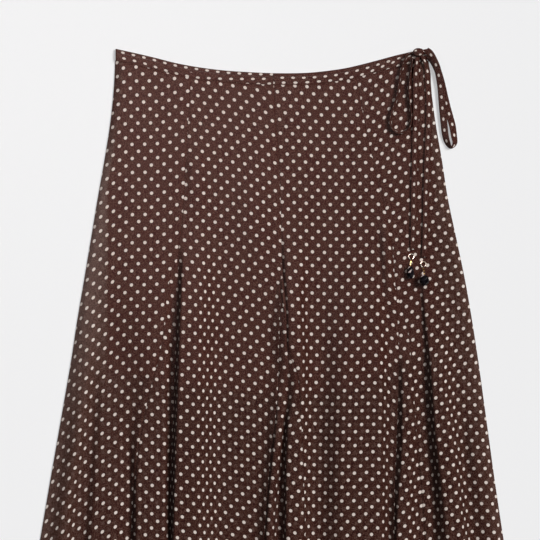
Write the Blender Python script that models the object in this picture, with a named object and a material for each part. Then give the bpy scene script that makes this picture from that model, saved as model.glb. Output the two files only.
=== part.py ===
"""A long gored skirt of sheer spotted cloth, laid flat and face up, with a bow at its side.

The waist points along +Y and the front faces +Z. Sizes are in millimetres until a mesh is made.
A drop is a distance measured down the skirt from the upper corners of its waistband, and x runs
across it from the centre line. Left and right are those of someone who looks at the front.
"""

import math

import bpy
import numpy as np

MM = 0.001

# Driving sizes
WAIST_HALF = 187.0      # half the waist, laid flat
WAIST_DIP = 29.0        # how far the waist at the centre line lies below its corners
CENTRE_LENGTH = 802.0   # centre front, from waist edge to hem
HEM_LIFT = 40.0         # how far the hem's corners lie above its middle
SIDE_LENGTH = WAIST_DIP + CENTRE_LENGTH - HEM_LIFT
CLOTH = 1.2             # wall of the skirt's cloth
LINING = 1.0            # wall of the lining
BAND_TALL = 14.0
BAND_THICK = 2.4
GAP = 0.3               # between sewn pieces, and between layers that touch
EDGE_ROLL = 9.0         # how far in from a side seam the front starts to roll down to the back
STEEPEST = 3.2          # limit of a wall's height over its thickness, on the folds' steep sides
TAIL_WIDE, TAIL_THICK = 7.5, 2.2
LOOP_WIDE, LOOP_THICK = {"left": 6.2, "right": 8.4}, 1.8
KNOT_AT, KNOT_HALF = (175.8, 5.0), (7.0, 5.2, 3.6)
RING_RADIUS, RING_WIRE = 3.2, 0.6
LINK_RADIUS, LINK_CLEAR = 1.0, 1.0

# How finely the walls are drawn
ROW_COUNT = 19
GORE_COLUMNS, GODET_COLUMNS, BACK_COLUMNS, BAND_COLUMNS = 24, 10, 20, 14

# Heights of the middle of the front's wall above the surface that the skirt lies on
BACK_MID = CLOTH / 2
LINING_BACK_MID = CLOTH + GAP + LINING / 2
LINING_FRONT_MID = LINING_BACK_MID + LINING + GAP
FRONT_LINED = LINING_FRONT_MID + LINING / 2 + GAP + CLOTH / 2
FRONT_LOW = 2.8         # below the lining
LINING_ENDS = (400.0, 540.0)
FRONT_EDGE = CLOTH + GAP + CLOTH / 2 + 0.1
BAND_BACK_MID = BAND_THICK / 2
BAND_FRONT_MID = FRONT_LINED
BAND_EDGE = BAND_THICK * 1.5 + GAP

# The waist's upper edge: (x, drop)
WAIST = (
    (-187, 0), (-172, 3.3), (-143, 10), (-114, 17.3), (-86, 22.4), (-57, 26), (-28, 28), (10, 29.4),
    (48, 28.5), (68, 26.4), (87, 23.6), (106, 19.4), (125, 14.5), (154, 6.8), (187, 0),
)

# The side seams: (drop, how far the left one is from the centre line, how far the right one is)
SIDES = (
    (0, 187, 187), (40, 188.4, 190.4), (85, 192.6, 196), (135, 200.4, 204.4), (180, 208.3, 211.4),
    (230, 216.6, 222), (280, 225, 232.4), (330, 233.4, 241), (373, 239.9, 247.6),
    (420, 248, 254.1), (469, 256.6, 260.8), (520, 265.6, 267.9), (590, 277.6, 278.4),
    (832, 318, 318),
)

# The lining's lower edge: (x, drop)
LINING_HEM = ((-200, 387), (0, 412), (90, 409), (160, 371), (200, 362))
LINING_HALF = 196.0
LINING_INSET = 10.0     # least distance from the side seam

# The three front seams. Each runs down a stem to a tip, and there it opens round a godet.
# Rows are (drop, x).
SEAMS = {
    "left": {
        "stem": ((20, -95), (73, -99), (137, -102.6), (214, -107.8), (251, -112.2)),
        "left": ((251, -112.2), (281, -123), (326, -127.8), (367, -133.8), (402, -143.4),
                 (445, -153), (488, -160.2), (589, -168.6), (832, -187)),
        "right": ((251, -112.2), (296, -110.2), (343, -113.4), (410, -115.8), (499, -119.4),
                  (589, -121.2), (832, -127)),
    },
    "centre": {
        "stem": ((20, 1.8), (61, 3.6), (128, 8.8), (196, 11.2), (290, 11.2)),
        "left": ((290, 11.2), (344, 9.6), (398, 8.2), (434, 6.2), (474, 1.1), (535, -4.4),
                 (589, -8.4), (832, -24)),
        "right": ((290, 11.2), (337, 17.4), (364, 21), (385, 29.4), (434, 34.2), (502, 37.8),
                  (589, 40.2), (832, 47)),
    },
    "right": {
        "stem": ((20, 100), (55, 105.6), (86, 111), (152, 125.4), (223, 142.9), (287, 148.2)),
        "left": ((287, 148.2), (341, 151.8), (425, 151.8), (534, 148.2), (832, 148)),
        "right": ((287, 148.2), (337, 162.6), (397, 168.6), (466, 173.4), (515, 178.2),
                  (589, 183.4), (832, 202)),
    },
}
TIP_WIDE = 0.6          # a godet's width at its tip

# Folds of the front. From left to right each climbs, runs level along its crown and falls.
# Rows are (drop, x of the middle of the climb, width of the climb, width of the crown, width of
# the fall, height).
FOLDS = {
    "left_edge": (
        (290, -222, 20, 2, 8, 0), (325, -226, 20, 2, 8, 3), (403, -234, 20, 2, 8, 6),
        (472, -243, 20, 2, 9, 8), (553, -256, 22, 2, 9, 9), (589, -261, 22, 2, 9, 9),
        (832, -302, 22, 3, 10, 11),
    ),
    "left_gore": (
        (375, -205, 10, 16, 20, 0), (403, -206, 10, 18, 20, 2), (439, -208, 11, 20, 20, 4),
        (499, -213, 11, 20, 22, 5), (589, -220, 13, 18, 24, 7), (832, -244, 14, 16, 24, 11),
    ),
    "left_godet": (
        (260, -170, 60, 12, 10, 0), (300, -168, 56, 12, 9, 4), (360, -166, 50, 14, 9, 7),
        (430, -165, 40, 16, 9, 9), (465, -165, 20, 26, 9, 9), (515, -165, 12, 29, 9, 11),
        (589, -165, 12, 30, 9, 13), (832, -180, 12, 35, 12, 16),
    ),
    "left_seam": (
        (230, -108, 6, 16, 20, 0), (262, -108.5, 5, 18, 20, 6), (300, -110, 5, 18, 18, 12),
        (350, -111.5, 5, 20, 18, 15), (450, -114.5, 5, 22, 18, 16), (589, -118, 5, 27, 18, 17),
        (832, -126, 6, 31, 24, 20),
    ),
    "centre_godet": (
        (355, 7, 8, 4, 8, 0), (395, 5.5, 9, 4, 8, 5), (430, 3, 10, 4, 8, 8),
        (470, -1, 11, 4, 7, 11), (529, -8, 13, 4, 7, 12), (589, -12, 13, 4, 8, 13),
        (832, -30, 14, 6, 14, 15),
    ),
    "centre_seam": (
        (225, 17, 5, 10, 22, 0), (262, 17, 4, 15, 14, 4), (300, 17.5, 4, 15, 12, 10),
        (325, 18.5, 6, 14, 12, 11), (350, 20, 18, 9, 12, 12), (415, 20, 18, 8, 12, 12),
        (440, 18.5, 8, 12, 14, 13), (470, 17.5, 4.5, 13, 16, 13), (589, 16, 4.5, 14, 18, 14),
        (832, 12, 6, 16, 22, 16),
    ),
    "right_gore": (
        (235, 78, 50, 10, 30, 0), (290, 76, 40, 26, 20, 5), (370, 74, 32, 40, 14, 8),
        (440, 71, 30, 46, 12, 9), (589, 72, 32, 44, 12, 11), (832, 66, 32, 50, 16, 13),
    ),
    "right_godet": (
        (350, 152, 10, 6, 14, 0), (390, 152.5, 9, 6, 14, 5), (430, 152.5, 9, 8, 14, 8),
        (493, 150.5, 10, 8, 14, 10), (530, 147, 11, 8, 16, 11), (589, 144, 11, 10, 18, 12),
        (832, 139, 12, 12, 22, 14),
    ),
    "right_seam": (
        (266, 179, 8, 8, 24, 0), (289, 180.5, 5, 8, 24, 4), (319, 182.5, 5, 8, 24, 6),
        (349, 185.5, 5, 8, 24, 8), (379, 188.5, 4.5, 8, 24, 12), (409, 190.4, 4.5, 9, 20, 14),
        (469, 194.2, 6, 14, 18, 15), (529, 200.5, 10, 14, 14, 16), (589, 206.5, 14, 13, 14, 17),
        (832, 230, 16, 13, 18, 20),
    ),
    "right_edge": (
        (420, 234, 10, 8, 14, 0), (475, 236, 11, 8, 14, 4), (529, 244, 18, 5, 14, 5),
        (589, 252, 22, 4, 14, 6), (832, 272, 22, 6, 18, 9),
    ),
    "pucker": (
        (110, -100, 10, 6, 8, 0), (135, -99, 10, 7, 7, 2.2), (165, -98, 10, 9, 7, 2.6),
        (185, -98, 10, 9, 7, 1.5), (205, -98, 10, 9, 8, 0),
    ),
}
# A climb's skew: above 1 it steepens towards the crown, and below 1 it starts steep.
SKEW = {"left_seam": 0.7, "centre_godet": 2.0, "centre_seam": 0.75, "right_godet": 1.9}
BULGE_AT, BULGE_REACH, BULGE_RISE = (-22.0, 196.0), (22.0, 50.0), 4.0

# The ties. Tail rows are (drop, x). Loop rows are (x, drop, height, lean): the left loop's height
# is over the front's cloth and the right loop's is over the surface, and lean is the angle in
# degrees from standing on edge towards lying outwards.
TAILS = {
    "left": ((10.8, 174.6), (20, 173.4), (43, 172.9), (76, 172.6), (122, 171.7), (169, 170.5),
             (218, 169.8), (241, 169.2)),
    "right": ((9.8, 180.8), (20, 185.2), (43, 187.4), (61, 188.6), (85, 188.3), (122, 186.8),
              (181, 184.9), (235, 183.8), (250, 183.2)),
}
TAIL_LIFT, TAIL_GATHER, TAIL_SETTLES, TAIL_CLEAR = 3.0, 0.3, 26.0, 0.5
LEFT_LOOP = (
    (168.2, 5.6, 4.7, 14), (162.6, 8.6, 4.7, 14), (159, 15.6, 4.7, 14), (156, 25, 4.3, 15),
    (153.6, 37, 3.9, 15), (150, 59, 3.9, 16), (145.4, 73, 3.9, 17), (142.4, 85, 3.9, 18),
    (143.8, 94.5, 3.9, 18), (149.4, 100.4, 3.9, 18), (156.6, 100.6, 3.9, 18), (163.4, 96, 3.9, 17),
    (166.6, 86.4, 3.9, 15), (166.4, 75.6, 3.9, 13), (164.6, 63.6, 3.9, 12), (163.6, 50.4, 3.9, 12),
    (164.8, 36, 3.9, 12), (166.8, 23, 4.4, 12), (168.2, 12, 4.8, 12),
)
RIGHT_LOOP = (
    (184.8, 3, 11.5, 70), (189.6, 6.4, 11, 66), (195, 15.6, 9.4, 62), (198.6, 24.6, 7.6, 66),
    (201.2, 36.8, 6.2, 70), (202.8, 47, 5.5, 75), (203.8, 58.8, 5, 78), (205.2, 75.6, 4.8, 76),
    (206.8, 92, 4.6, 72), (208.3, 104.2, 4.6, 64), (211, 113, 4.6, 44), (215.2, 118.4, 4.8, 15),
    (219.5, 113, 4.4, 44), (218.6, 104, 3.2, 64), (216.8, 92, 2.4, 76), (213.4, 80, 1.9, 86),
    (210, 67.4, 1.7, 94), (206.8, 54, 1.8, 98), (203.4, 39.6, 2.4, 102),
    (199.2, 26.4, 4.2, 106), (194.4, 16.8, 6.1, 110), (189, 10, 7.2, 108), (184.8, 6.6, 7.4, 106),
)
# The fittings at the ties' ends: ring, link and bead, each an (x, drop)
FITTINGS = {
    "left": {"ring": (167.3, 249.2), "bead": (166.0, 268.2), "bead_half": (4.6, 7.2)},
    "right": {"ring": (181.8, 258.4), "bead": (182.3, 277.6), "bead_half": (6.0, 6.2)},
}

COLOURS = {
    "cloth": (0.055, 0.025, 0.020, 1),
    "lining": (0.030, 0.015, 0.012, 1),
    "pale": (0.72, 0.66, 0.58, 1),
    "gold": (0.62, 0.43, 0.15, 1),
    "black": (0.008, 0.007, 0.008, 1),
}


# Curves and outlines

def smooth_through(rows, at):
    """A smooth curve through rows of (place, value), held at its end values outside them."""
    places, values = np.array(rows, float).T
    slopes = np.gradient(values, places)
    at = np.clip(np.asarray(at, float), places[0], places[-1])
    row = np.clip(np.searchsorted(places, at) - 1, 0, len(places) - 2)
    step = places[row + 1] - places[row]
    part = (at - places[row]) / step
    rest = 1 - part
    ends = values[row] * rest**2 * (1 + 2 * part) + values[row + 1] * part**2 * (1 + 2 * rest)
    return ends + step * part * rest * (slopes[row] * rest - slopes[row + 1] * part)


def along_rows(rows, at):
    """The smooth curve of each column after the first, which holds the places."""
    return [smooth_through([(row[0], row[k]) for row in rows], at) for k in range(1, len(rows[0]))]


def ease(part):
    """From 0 to 1, level at both ends."""
    part = np.clip(part, 0, 1)
    return part * part * (3 - 2 * part)


def left_side(drop):
    return -along_rows(SIDES, drop)[0]


def right_side(drop):
    return along_rows(SIDES, drop)[1]


def from_side(x, drop):
    """The distance from a point to the nearer side seam."""
    return np.minimum(x - left_side(drop), right_side(drop) - x)


def waist_drop(x):
    return smooth_through(WAIST, x)


def hem_drop(x):
    return SIDE_LENGTH + HEM_LIFT * (1 - (x / right_side(SIDE_LENGTH)) ** 2)


def drop_at(x, share):
    """The drop of the point at x that is this share of the way from the band to the hem."""
    top = waist_drop(x) + BAND_TALL + GAP
    return top + share * (hem_drop(x) - top)


def seam_pair(name, drop):
    """The x of a seam's two lines. They are one line down to the tip."""
    seam = SEAMS[name]
    left = smooth_through(seam["left"], drop)
    right = smooth_through(seam["right"], drop)
    spread = np.maximum(TIP_WIDE + GAP - (right - left), 0) / 2
    stem = smooth_through(seam["stem"], drop)
    below = np.asarray(drop) >= seam["stem"][-1][0] - 0.5
    return np.where(below, left - spread, stem), np.where(below, right + spread, stem)


# Heights of the front

def flat_height(x, drop, relief=0.0):
    """The height of the middle of the front's wall where there is no fold, plus a relief."""
    low = ease((drop - LINING_ENDS[0]) / (LINING_ENDS[1] - LINING_ENDS[0]))
    rest = FRONT_LINED + (FRONT_LOW - FRONT_LINED) * low
    inward = np.clip(from_side(x, drop) / EDGE_ROLL, 0, 1)
    return FRONT_EDGE + (rest + relief - FRONT_EDGE) * (1 - (1 - inward) ** 2)


def front_height(x, drop):
    """The height of the middle of the front's wall."""
    relief = 0
    for name, rows in FOLDS.items():
        middle, climb, crown, fall, high = along_rows(rows, drop)
        foot = middle - climb / 2
        up = ease(np.clip((x - foot) / climb, 0, 1) ** SKEW.get(name, 1.0))
        down = ease((x - foot - climb - crown) / fall)
        relief = relief + high * (up - down)
    away = ((x - BULGE_AT[0]) / BULGE_REACH[0]) ** 2 + ((drop - BULGE_AT[1]) / BULGE_REACH[1]) ** 2
    return flat_height(x, drop, relief + BULGE_RISE * np.exp(-away))


def front_faces(x, drop):
    """Heights of the front's outer and inner face. A steep wall is as thick as a level one."""
    step = 0.5
    middle = front_height(x, drop)
    slope = (front_height(x + step, drop) - front_height(x - step, drop)) / (2 * step)
    half = CLOTH / 2 * np.minimum(np.hypot(1, slope), STEEPEST)
    return middle + half, np.maximum(middle - half, flat_height(x, drop) - CLOTH / 2)


def level(drop):
    """The world's Y of a drop: the skirt's middle is at 0."""
    return (WAIST_DIP + CENTRE_LENGTH) / 2 - drop


# Rows of the panels

def share_at(x, drop):
    top = drop_at(x, 0.0)
    return (drop - top) / (hem_drop(x) - top)


def row_shares():
    """Even rows from band to hem, with one at each godet's tip."""
    tips = []
    for seam in SEAMS.values():
        drop, x = seam["stem"][-1]
        tips.append(float(share_at(x, drop)))
    even = np.linspace(0, 1, ROW_COUNT + 1)
    clear = [s for s in even if min(abs(s - tip) for tip in tips) > 0.4 / ROW_COUNT]
    close = [tip for i, tip in enumerate(tips) if all(abs(tip - t) > 0.004 for t in tips[:i])]
    return sorted(clear + close)


def follow(edge, share):
    """The point of an edge, a function that gives x at a drop, that lies at this share."""
    drop = 400.0
    for _ in range(12):
        x = float(edge(drop))
        drop = float(drop_at(x, share))
    return x


def panel_grid(left_edge, right_edge, shares, columns, height=None):
    """Rows of points from edge to edge, evenly spaced along the surface that height gives."""
    rows = []
    for share in shares:
        x = np.linspace(follow(left_edge, share), follow(right_edge, share), 241)
        z = 0 * x if height is None else height(x, drop_at(x, share))
        way = np.concatenate([[0], np.cumsum(np.hypot(np.diff(x), np.diff(z)))])
        rows.append(np.interp(np.linspace(0, way[-1], columns + 1), way, x))
    x = np.array(rows)
    drop = np.array([drop_at(row, share) for row, share in zip(x, shares)])
    return x, drop


# Meshes

def finish(name, points, faces, colour, roughness=0.85, metallic=0.0, smooth_angle=40):
    """Makes the named object from points in millimetres, and gives it a material of its own."""
    mesh = bpy.data.meshes.new(name)
    mesh.from_pydata([tuple(float(c) * MM for c in p) for p in points], [], faces)
    mesh.validate()
    mesh.shade_smooth()
    mesh.set_sharp_from_angle(angle=math.radians(smooth_angle))
    material = bpy.data.materials.new(name)
    material.use_nodes = True
    shader = material.node_tree.nodes["Principled BSDF"]
    shader.inputs["Base Color"].default_value = COLOURS[colour]
    shader.inputs["Roughness"].default_value = roughness
    shader.inputs["Metallic"].default_value = metallic
    mesh.materials.append(material)
    thing = bpy.data.objects.new(name, mesh)
    bpy.context.scene.collection.objects.link(thing)
    return thing


def grid_wall(name, upper, lower, colour):
    """A closed wall between two grids of points, rows running down and columns to the right.

    Both faces are split along the same diagonal, so that a twisted wall keeps its thickness.
    """
    rows, columns = upper.shape[:2]
    points = np.concatenate([upper.reshape(-1, 3), lower.reshape(-1, 3)])
    under = rows * columns
    faces = []
    for r in range(rows - 1):
        for c in range(columns - 1):
            a = r * columns + c
            b, d, e = a + columns, a + 1, a + columns + 1
            faces += [(a, b, e), (a, e, d)]
            faces += [(under + a, under + e, under + b), (under + a, under + d, under + e)]
    rim = [c for c in range(columns)]
    rim += [r * columns + columns - 1 for r in range(1, rows)]
    rim += [(rows - 1) * columns + c for c in range(columns - 2, -1, -1)]
    rim += [r * columns for r in range(rows - 2, 0, -1)]
    for a, b in zip(rim, rim[1:] + rim[:1]):
        faces.append((a, b, under + b, under + a))
    return finish(name, points, faces, colour)


def flat_wall(name, x, drop, middle, thick, colour):
    """A wall of even height, laid level."""
    upper = np.stack([x, level(drop), np.full_like(x, middle + thick / 2)], axis=-1)
    lower = np.stack([x, level(drop), np.full_like(x, middle - thick / 2)], axis=-1)
    return grid_wall(name, upper, lower, colour)


def front_wall(name, left_edge, right_edge, shares, columns):
    x, drop = panel_grid(left_edge, right_edge, shares, columns, front_height)
    upper, lower = (np.stack([x, level(drop), z], axis=-1) for z in front_faces(x, drop))
    return grid_wall(name, upper, lower, "cloth")


def tube(name, rings, colour, **look):
    """A closed body through rings of points, each ring counter-clockwise about the way along."""
    count = len(rings[0])
    points = np.concatenate(rings)
    faces = []
    for r in range(len(rings) - 1):
        for k in range(count):
            a, b = r * count + k, r * count + (k + 1) % count
            faces.append((a, b, b + count, a + count))
    faces.append(tuple(range(count - 1, -1, -1)))
    last = (len(rings) - 1) * count
    faces.append(tuple(range(last, last + count)))
    return finish(name, points, faces, colour, **look)


def flattened_section(wide, thick):
    """A flattened tube's section, as (along its width, along its thickness)."""
    return [
        (wide / 2 * math.cos(turn), thick / 2 * math.copysign(abs(math.sin(turn)) ** 0.5,
                                                             math.sin(turn)))
        for turn in (math.tau * k / 8 for k in range(8))
    ]


# Panels

def make_front():
    shares = row_shares()
    names = list(SEAMS)

    def edge(seam, line, shift):
        return lambda drop: seam_pair(seam, drop)[line] + shift

    lefts = [left_side] + [edge(n, 1, GAP / 2) for n in names]
    rights = [edge(n, 0, -GAP / 2) for n in names] + [right_side]
    gores = ("side_gore_left", "centre_gore_left", "centre_gore_right", "side_gore_right")
    for name, left, right in zip(gores, lefts, rights):
        front_wall(f"front_{name}", left, right, shares, GORE_COLUMNS)
    for seam in names:
        tip_drop, tip_x = SEAMS[seam]["stem"][-1]
        tip = float(share_at(tip_x, tip_drop))
        below = [share for share in shares if share > tip - 0.005]
        front_wall(
            f"front_godet_{seam}", edge(seam, 0, GAP / 2), edge(seam, 1, -GAP / 2),
            below, GODET_COLUMNS,
        )


def make_back():
    x, drop = panel_grid(left_side, right_side, row_shares(), BACK_COLUMNS)
    flat_wall("back_panel", x, drop, BACK_MID, CLOTH, "cloth")


def make_lining():
    """Two straight panels that hang from the band inside the skirt."""
    x_shares = np.linspace(-1, 1, 13)
    for name, middle in (("back", LINING_BACK_MID), ("front", LINING_FRONT_MID)):
        rows = []
        for share in np.linspace(0, 1, 8):
            x = x_shares * LINING_HALF
            for _ in range(3):
                top = waist_drop(x) + BAND_TALL + 2 * GAP
                drop = top + share * (smooth_through(LINING_HEM, x) - top)
                side = np.where(x_shares < 0, -left_side(drop), right_side(drop))
                x = x_shares * np.minimum(LINING_HALF, side - LINING_INSET)
            rows.append((x, drop))
        x, drop = (np.array(values) for values in zip(*rows))
        flat_wall(f"lining_{name}", x, drop, middle, LINING, "lining")


def make_band():
    """The band's front halves meet at the centre seam, and their side ends lie on the back's."""
    join = SEAMS["centre"]["stem"][0][1]
    reach = WAIST_HALF - 0.2
    spans = {
        "front_left": (-reach, join - GAP / 2),
        "front_right": (join + GAP / 2, reach),
        "back": (-reach, reach),
    }
    for name, (start, end) in spans.items():
        columns = BACK_COLUMNS if name == "back" else BAND_COLUMNS
        x = np.tile(np.linspace(start, end, columns + 1), (3, 1))
        drop = waist_drop(x) + BAND_TALL * np.array([[0.0], [0.5], [1.0]])
        if name == "back":
            flat_wall("waistband_back", x, drop, BAND_BACK_MID, BAND_THICK, "cloth")
            continue
        inward = np.clip((reach - np.abs(x)) / EDGE_ROLL, 0, 1)
        middle = BAND_EDGE + (BAND_FRONT_MID - BAND_EDGE) * (1 - (1 - inward) ** 2)
        upper = np.stack([x, level(drop), middle + BAND_THICK / 2], axis=-1)
        lower = np.stack([x, level(drop), middle - BAND_THICK / 2], axis=-1)
        grid_wall(f"waistband_{name}", upper, lower, "cloth")


# Bow and ties

def front_top(x, drop):
    return front_faces(x, drop)[0]


def highest_top(x, drop, reach):
    """The highest place of the front's cloth within reach of a point."""
    beside, below = np.meshgrid(x + np.linspace(-reach, reach, 5), drop + np.linspace(-reach, reach, 5))
    return float(front_top(beside, below).max())


def make_knot():
    """A small pulled knot: an egg that its turns have pinched."""
    across, around = 8, 14
    base = BAND_FRONT_MID + BAND_THICK / 2 + GAP
    rings = []
    for i in range(1, across):
        slant = math.pi * i / across
        ring = []
        for k in range(around):
            turn = math.tau * k / around
            pinch = 1 - 0.10 * (1 + math.cos(3 * turn + 2 * slant)) / 2
            ring.append((
                KNOT_AT[0] - KNOT_HALF[0] * math.cos(slant),
                level(KNOT_AT[1]) + KNOT_HALF[1] * math.sin(slant) * math.cos(turn) * pinch,
                base + KNOT_HALF[2] * (1 + math.sin(slant) * math.sin(turn) * pinch),
            ))
        rings.append(ring)
    tube("bow_knot", rings, "cloth")


def make_tail(side):
    """A flattened tube that lies on the front's cloth, and lifts and narrows to the knot."""
    first, last = TAILS[side][0][0], TAILS[side][-1][0]
    section = flattened_section(TAIL_WIDE, TAIL_THICK)
    rings = []
    for drop in np.linspace(first, last, 22):
        x = float(smooth_through(TAILS[side], drop))
        gather = 1 - float(ease((drop - first) / TAIL_SETTLES))
        rise = TAIL_CLEAR + TAIL_THICK / 2 + TAIL_LIFT * gather
        rings.append([
            (x + w, level(drop), float(front_top(x + w, drop)) + rise + d)
            for w, d in ((wide * (1 - TAIL_GATHER * gather), deep) for wide, deep in section)
        ])
    tube(f"tie_tail_{side}", rings, "cloth")


def make_loop(side, rows, base):
    """A flattened tube that leaves the knot, turns and comes back to it."""
    places = range(len(rows))
    columns = [list(zip(places, column)) for column in zip(*rows)]
    along = np.linspace(0, len(rows) - 1, 3 * len(rows) - 2)
    x, drop, height, lean = (smooth_through(column, along) for column in columns)
    z = height + base(x, drop)
    path = np.stack([x, level(drop), z], axis=-1)
    ways = np.gradient(path, axis=0)
    section = flattened_section(LOOP_WIDE[side], LOOP_THICK)
    turning = 1 if side == "right" else -1
    rings = []
    for point, way, angle in zip(path, ways, np.radians(lean)):
        way = way / np.linalg.norm(way)
        outward = np.array([-way[1], way[0], 0.0]) * turning
        outward /= np.linalg.norm(outward)
        wide = math.cos(angle) * np.array([0, 0, 1.0]) + math.sin(angle) * outward
        wide -= way * wide.dot(way)
        wide /= np.linalg.norm(wide)
        deep = np.cross(way, wide)
        rings.append([point + wide * w + deep * d for w, d in section])
    tube(f"bow_loop_{side}", rings, "cloth")


def make_fittings(side):
    sizes = FITTINGS[side]
    half_wide, half_long = sizes["bead_half"]
    ring_x, ring_drop = sizes["ring"]
    bead_x, bead_drop = sizes["bead"]
    ring_z = highest_top(ring_x, ring_drop, RING_RADIUS) + GAP + RING_WIRE + 0.4
    bead_z = highest_top(bead_x, bead_drop, half_wide / 2) + GAP + half_wide + 0.3

    bpy.ops.mesh.primitive_torus_add(
        major_radius=RING_RADIUS * MM, minor_radius=RING_WIRE * MM,
        major_segments=16, minor_segments=6,
        location=(ring_x * MM, level(ring_drop) * MM, ring_z * MM),
    )
    ring = bpy.context.object
    ring.name = f"tie_ring_{side}"
    paint(ring, "pale", 0.3, 0.0)

    start = np.array([ring_x, level(ring_drop + RING_RADIUS + RING_WIRE + LINK_CLEAR / 2), ring_z])
    end = np.array([bead_x, level(bead_drop - half_long - LINK_CLEAR), bead_z])
    way = (end - start) / np.linalg.norm(end - start)
    side_way = np.cross(way, (0, 0, 1))
    side_way /= np.linalg.norm(side_way)
    up_way = np.cross(side_way, way)
    rings = []
    for share, swell in ((0, 0.7), (0.3, 1.0), (0.5, 0.7), (0.7, 1.0), (1, 0.7)):
        centre = start + (end - start) * share
        rings.append([
            centre + LINK_RADIUS * swell * (
                math.cos(math.tau * k / 8) * up_way + math.sin(math.tau * k / 8) * side_way
            )
            for k in range(8)
        ])
    tube(f"tie_link_{side}", rings, "gold", roughness=0.3, metallic=1.0)

    rings = []
    for i in range(5):
        slant = math.radians(-62 + 31 * i)
        rings.append([
            (
                bead_x + half_wide * math.cos(slant) * math.cos(math.tau * (k + i / 2) / 8),
                level(bead_drop) + half_long * math.sin(slant) / math.sin(math.radians(62)),
                bead_z - half_wide * math.cos(slant) * math.sin(math.tau * (k + i / 2) / 8),
            )
            for k in range(8)
        ])
    tube(f"tie_bead_{side}", rings, "black", roughness=0.12, smooth_angle=5)


def paint(thing, colour, roughness, metallic):
    material = bpy.data.materials.new(thing.name)
    material.use_nodes = True
    shader = material.node_tree.nodes["Principled BSDF"]
    shader.inputs["Base Color"].default_value = COLOURS[colour]
    shader.inputs["Roughness"].default_value = roughness
    shader.inputs["Metallic"].default_value = metallic
    thing.data.materials.clear()
    thing.data.materials.append(material)


for old in list(bpy.data.objects):
    bpy.data.objects.remove(old)

make_front()
make_back()
make_lining()
make_band()
make_knot()
make_loop("left", LEFT_LOOP, front_top)
make_loop("right", RIGHT_LOOP, lambda x, drop: 0.0)
for tie in TAILS:
    make_tail(tie)
    make_fittings(tie)
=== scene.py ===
# %% [markdown]
# # A long spotted skirt, laid flat
# This lesson dresses a imported CAD model of a skirt. The model has thick plain walls, for collision.
# Here each wall is replaced by thin cloth on the same form, with seams, spots, stitches and sheen.
# First the imported model is loaded.

# %% Load the imported model
import math

import bpy
import numpy as np
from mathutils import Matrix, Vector


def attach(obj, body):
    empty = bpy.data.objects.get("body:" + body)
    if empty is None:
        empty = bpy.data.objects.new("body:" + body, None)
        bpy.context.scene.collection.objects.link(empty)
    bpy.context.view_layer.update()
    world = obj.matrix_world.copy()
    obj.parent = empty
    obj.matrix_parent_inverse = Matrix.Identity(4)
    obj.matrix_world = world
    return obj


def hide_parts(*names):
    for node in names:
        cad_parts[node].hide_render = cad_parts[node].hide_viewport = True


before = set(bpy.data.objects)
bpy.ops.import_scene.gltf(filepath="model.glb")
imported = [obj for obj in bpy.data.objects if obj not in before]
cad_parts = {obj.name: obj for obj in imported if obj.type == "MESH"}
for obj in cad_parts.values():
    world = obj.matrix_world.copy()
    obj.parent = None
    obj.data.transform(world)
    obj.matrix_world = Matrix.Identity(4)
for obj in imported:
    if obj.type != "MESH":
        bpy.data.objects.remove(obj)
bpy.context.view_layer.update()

MM = 0.001

# %% [markdown]
# ## Curves that the whole skirt follows
# A pattern cutter marks a few points on paper and joins them with a smooth curve. The same is done
# here: short tables hold the points, and one function runs a smooth curve through any of them. A
# drop is a distance in millimetres down from the waistband's corners, and x runs across from the
# middle.

# %% Smooth curves through a few rows
def smooth_through(rows, at):
    """A smooth curve through rows of (place, value), held at its end values outside them."""
    places, values = np.array(rows, float).T
    slopes = np.gradient(values, places)
    at = np.clip(np.asarray(at, float), places[0], places[-1])
    row = np.clip(np.searchsorted(places, at) - 1, 0, len(places) - 2)
    step = places[row + 1] - places[row]
    part = (at - places[row]) / step
    rest = 1 - part
    ends = values[row] * rest**2 * (1 + 2 * part) + values[row + 1] * part**2 * (1 + 2 * rest)
    return ends + step * part * rest * (slopes[row] * rest - slopes[row + 1] * part)


def along_rows(rows, at):
    """The smooth curve of each column after the first, which holds the places."""
    return [smooth_through([(row[0], row[k]) for row in rows], at) for k in range(1, len(rows[0]))]


def ease(part):
    """From 0 to 1, level at both ends."""
    part = np.clip(part, 0, 1)
    return part * part * (3 - 2 * part)


def past(drop, start):
    """0 above a drop and 1 some way below it. start is (drop, over how far)."""
    return ease((drop - start[0]) / start[1])


def running(steps):
    """The sum of the steps so far, from 0."""
    return np.concatenate([[0], np.cumsum(steps)])


def together(*coordinates):
    """Points, or places on the cloth, from coordinates whose shapes fit each other."""
    return np.stack(np.broadcast_arrays(*coordinates), axis=-1)


print("halfway between 2 and 4:", float(smooth_through(((0, 2), (1, 4)), 0.5)))

# %% [markdown]
# ## The outline
# The waist dips in the middle, the side seams flare, and the hem is an arc. Each panel is drawn by
# shares: 0 is its upper edge at the band and 1 its hem.

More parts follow.
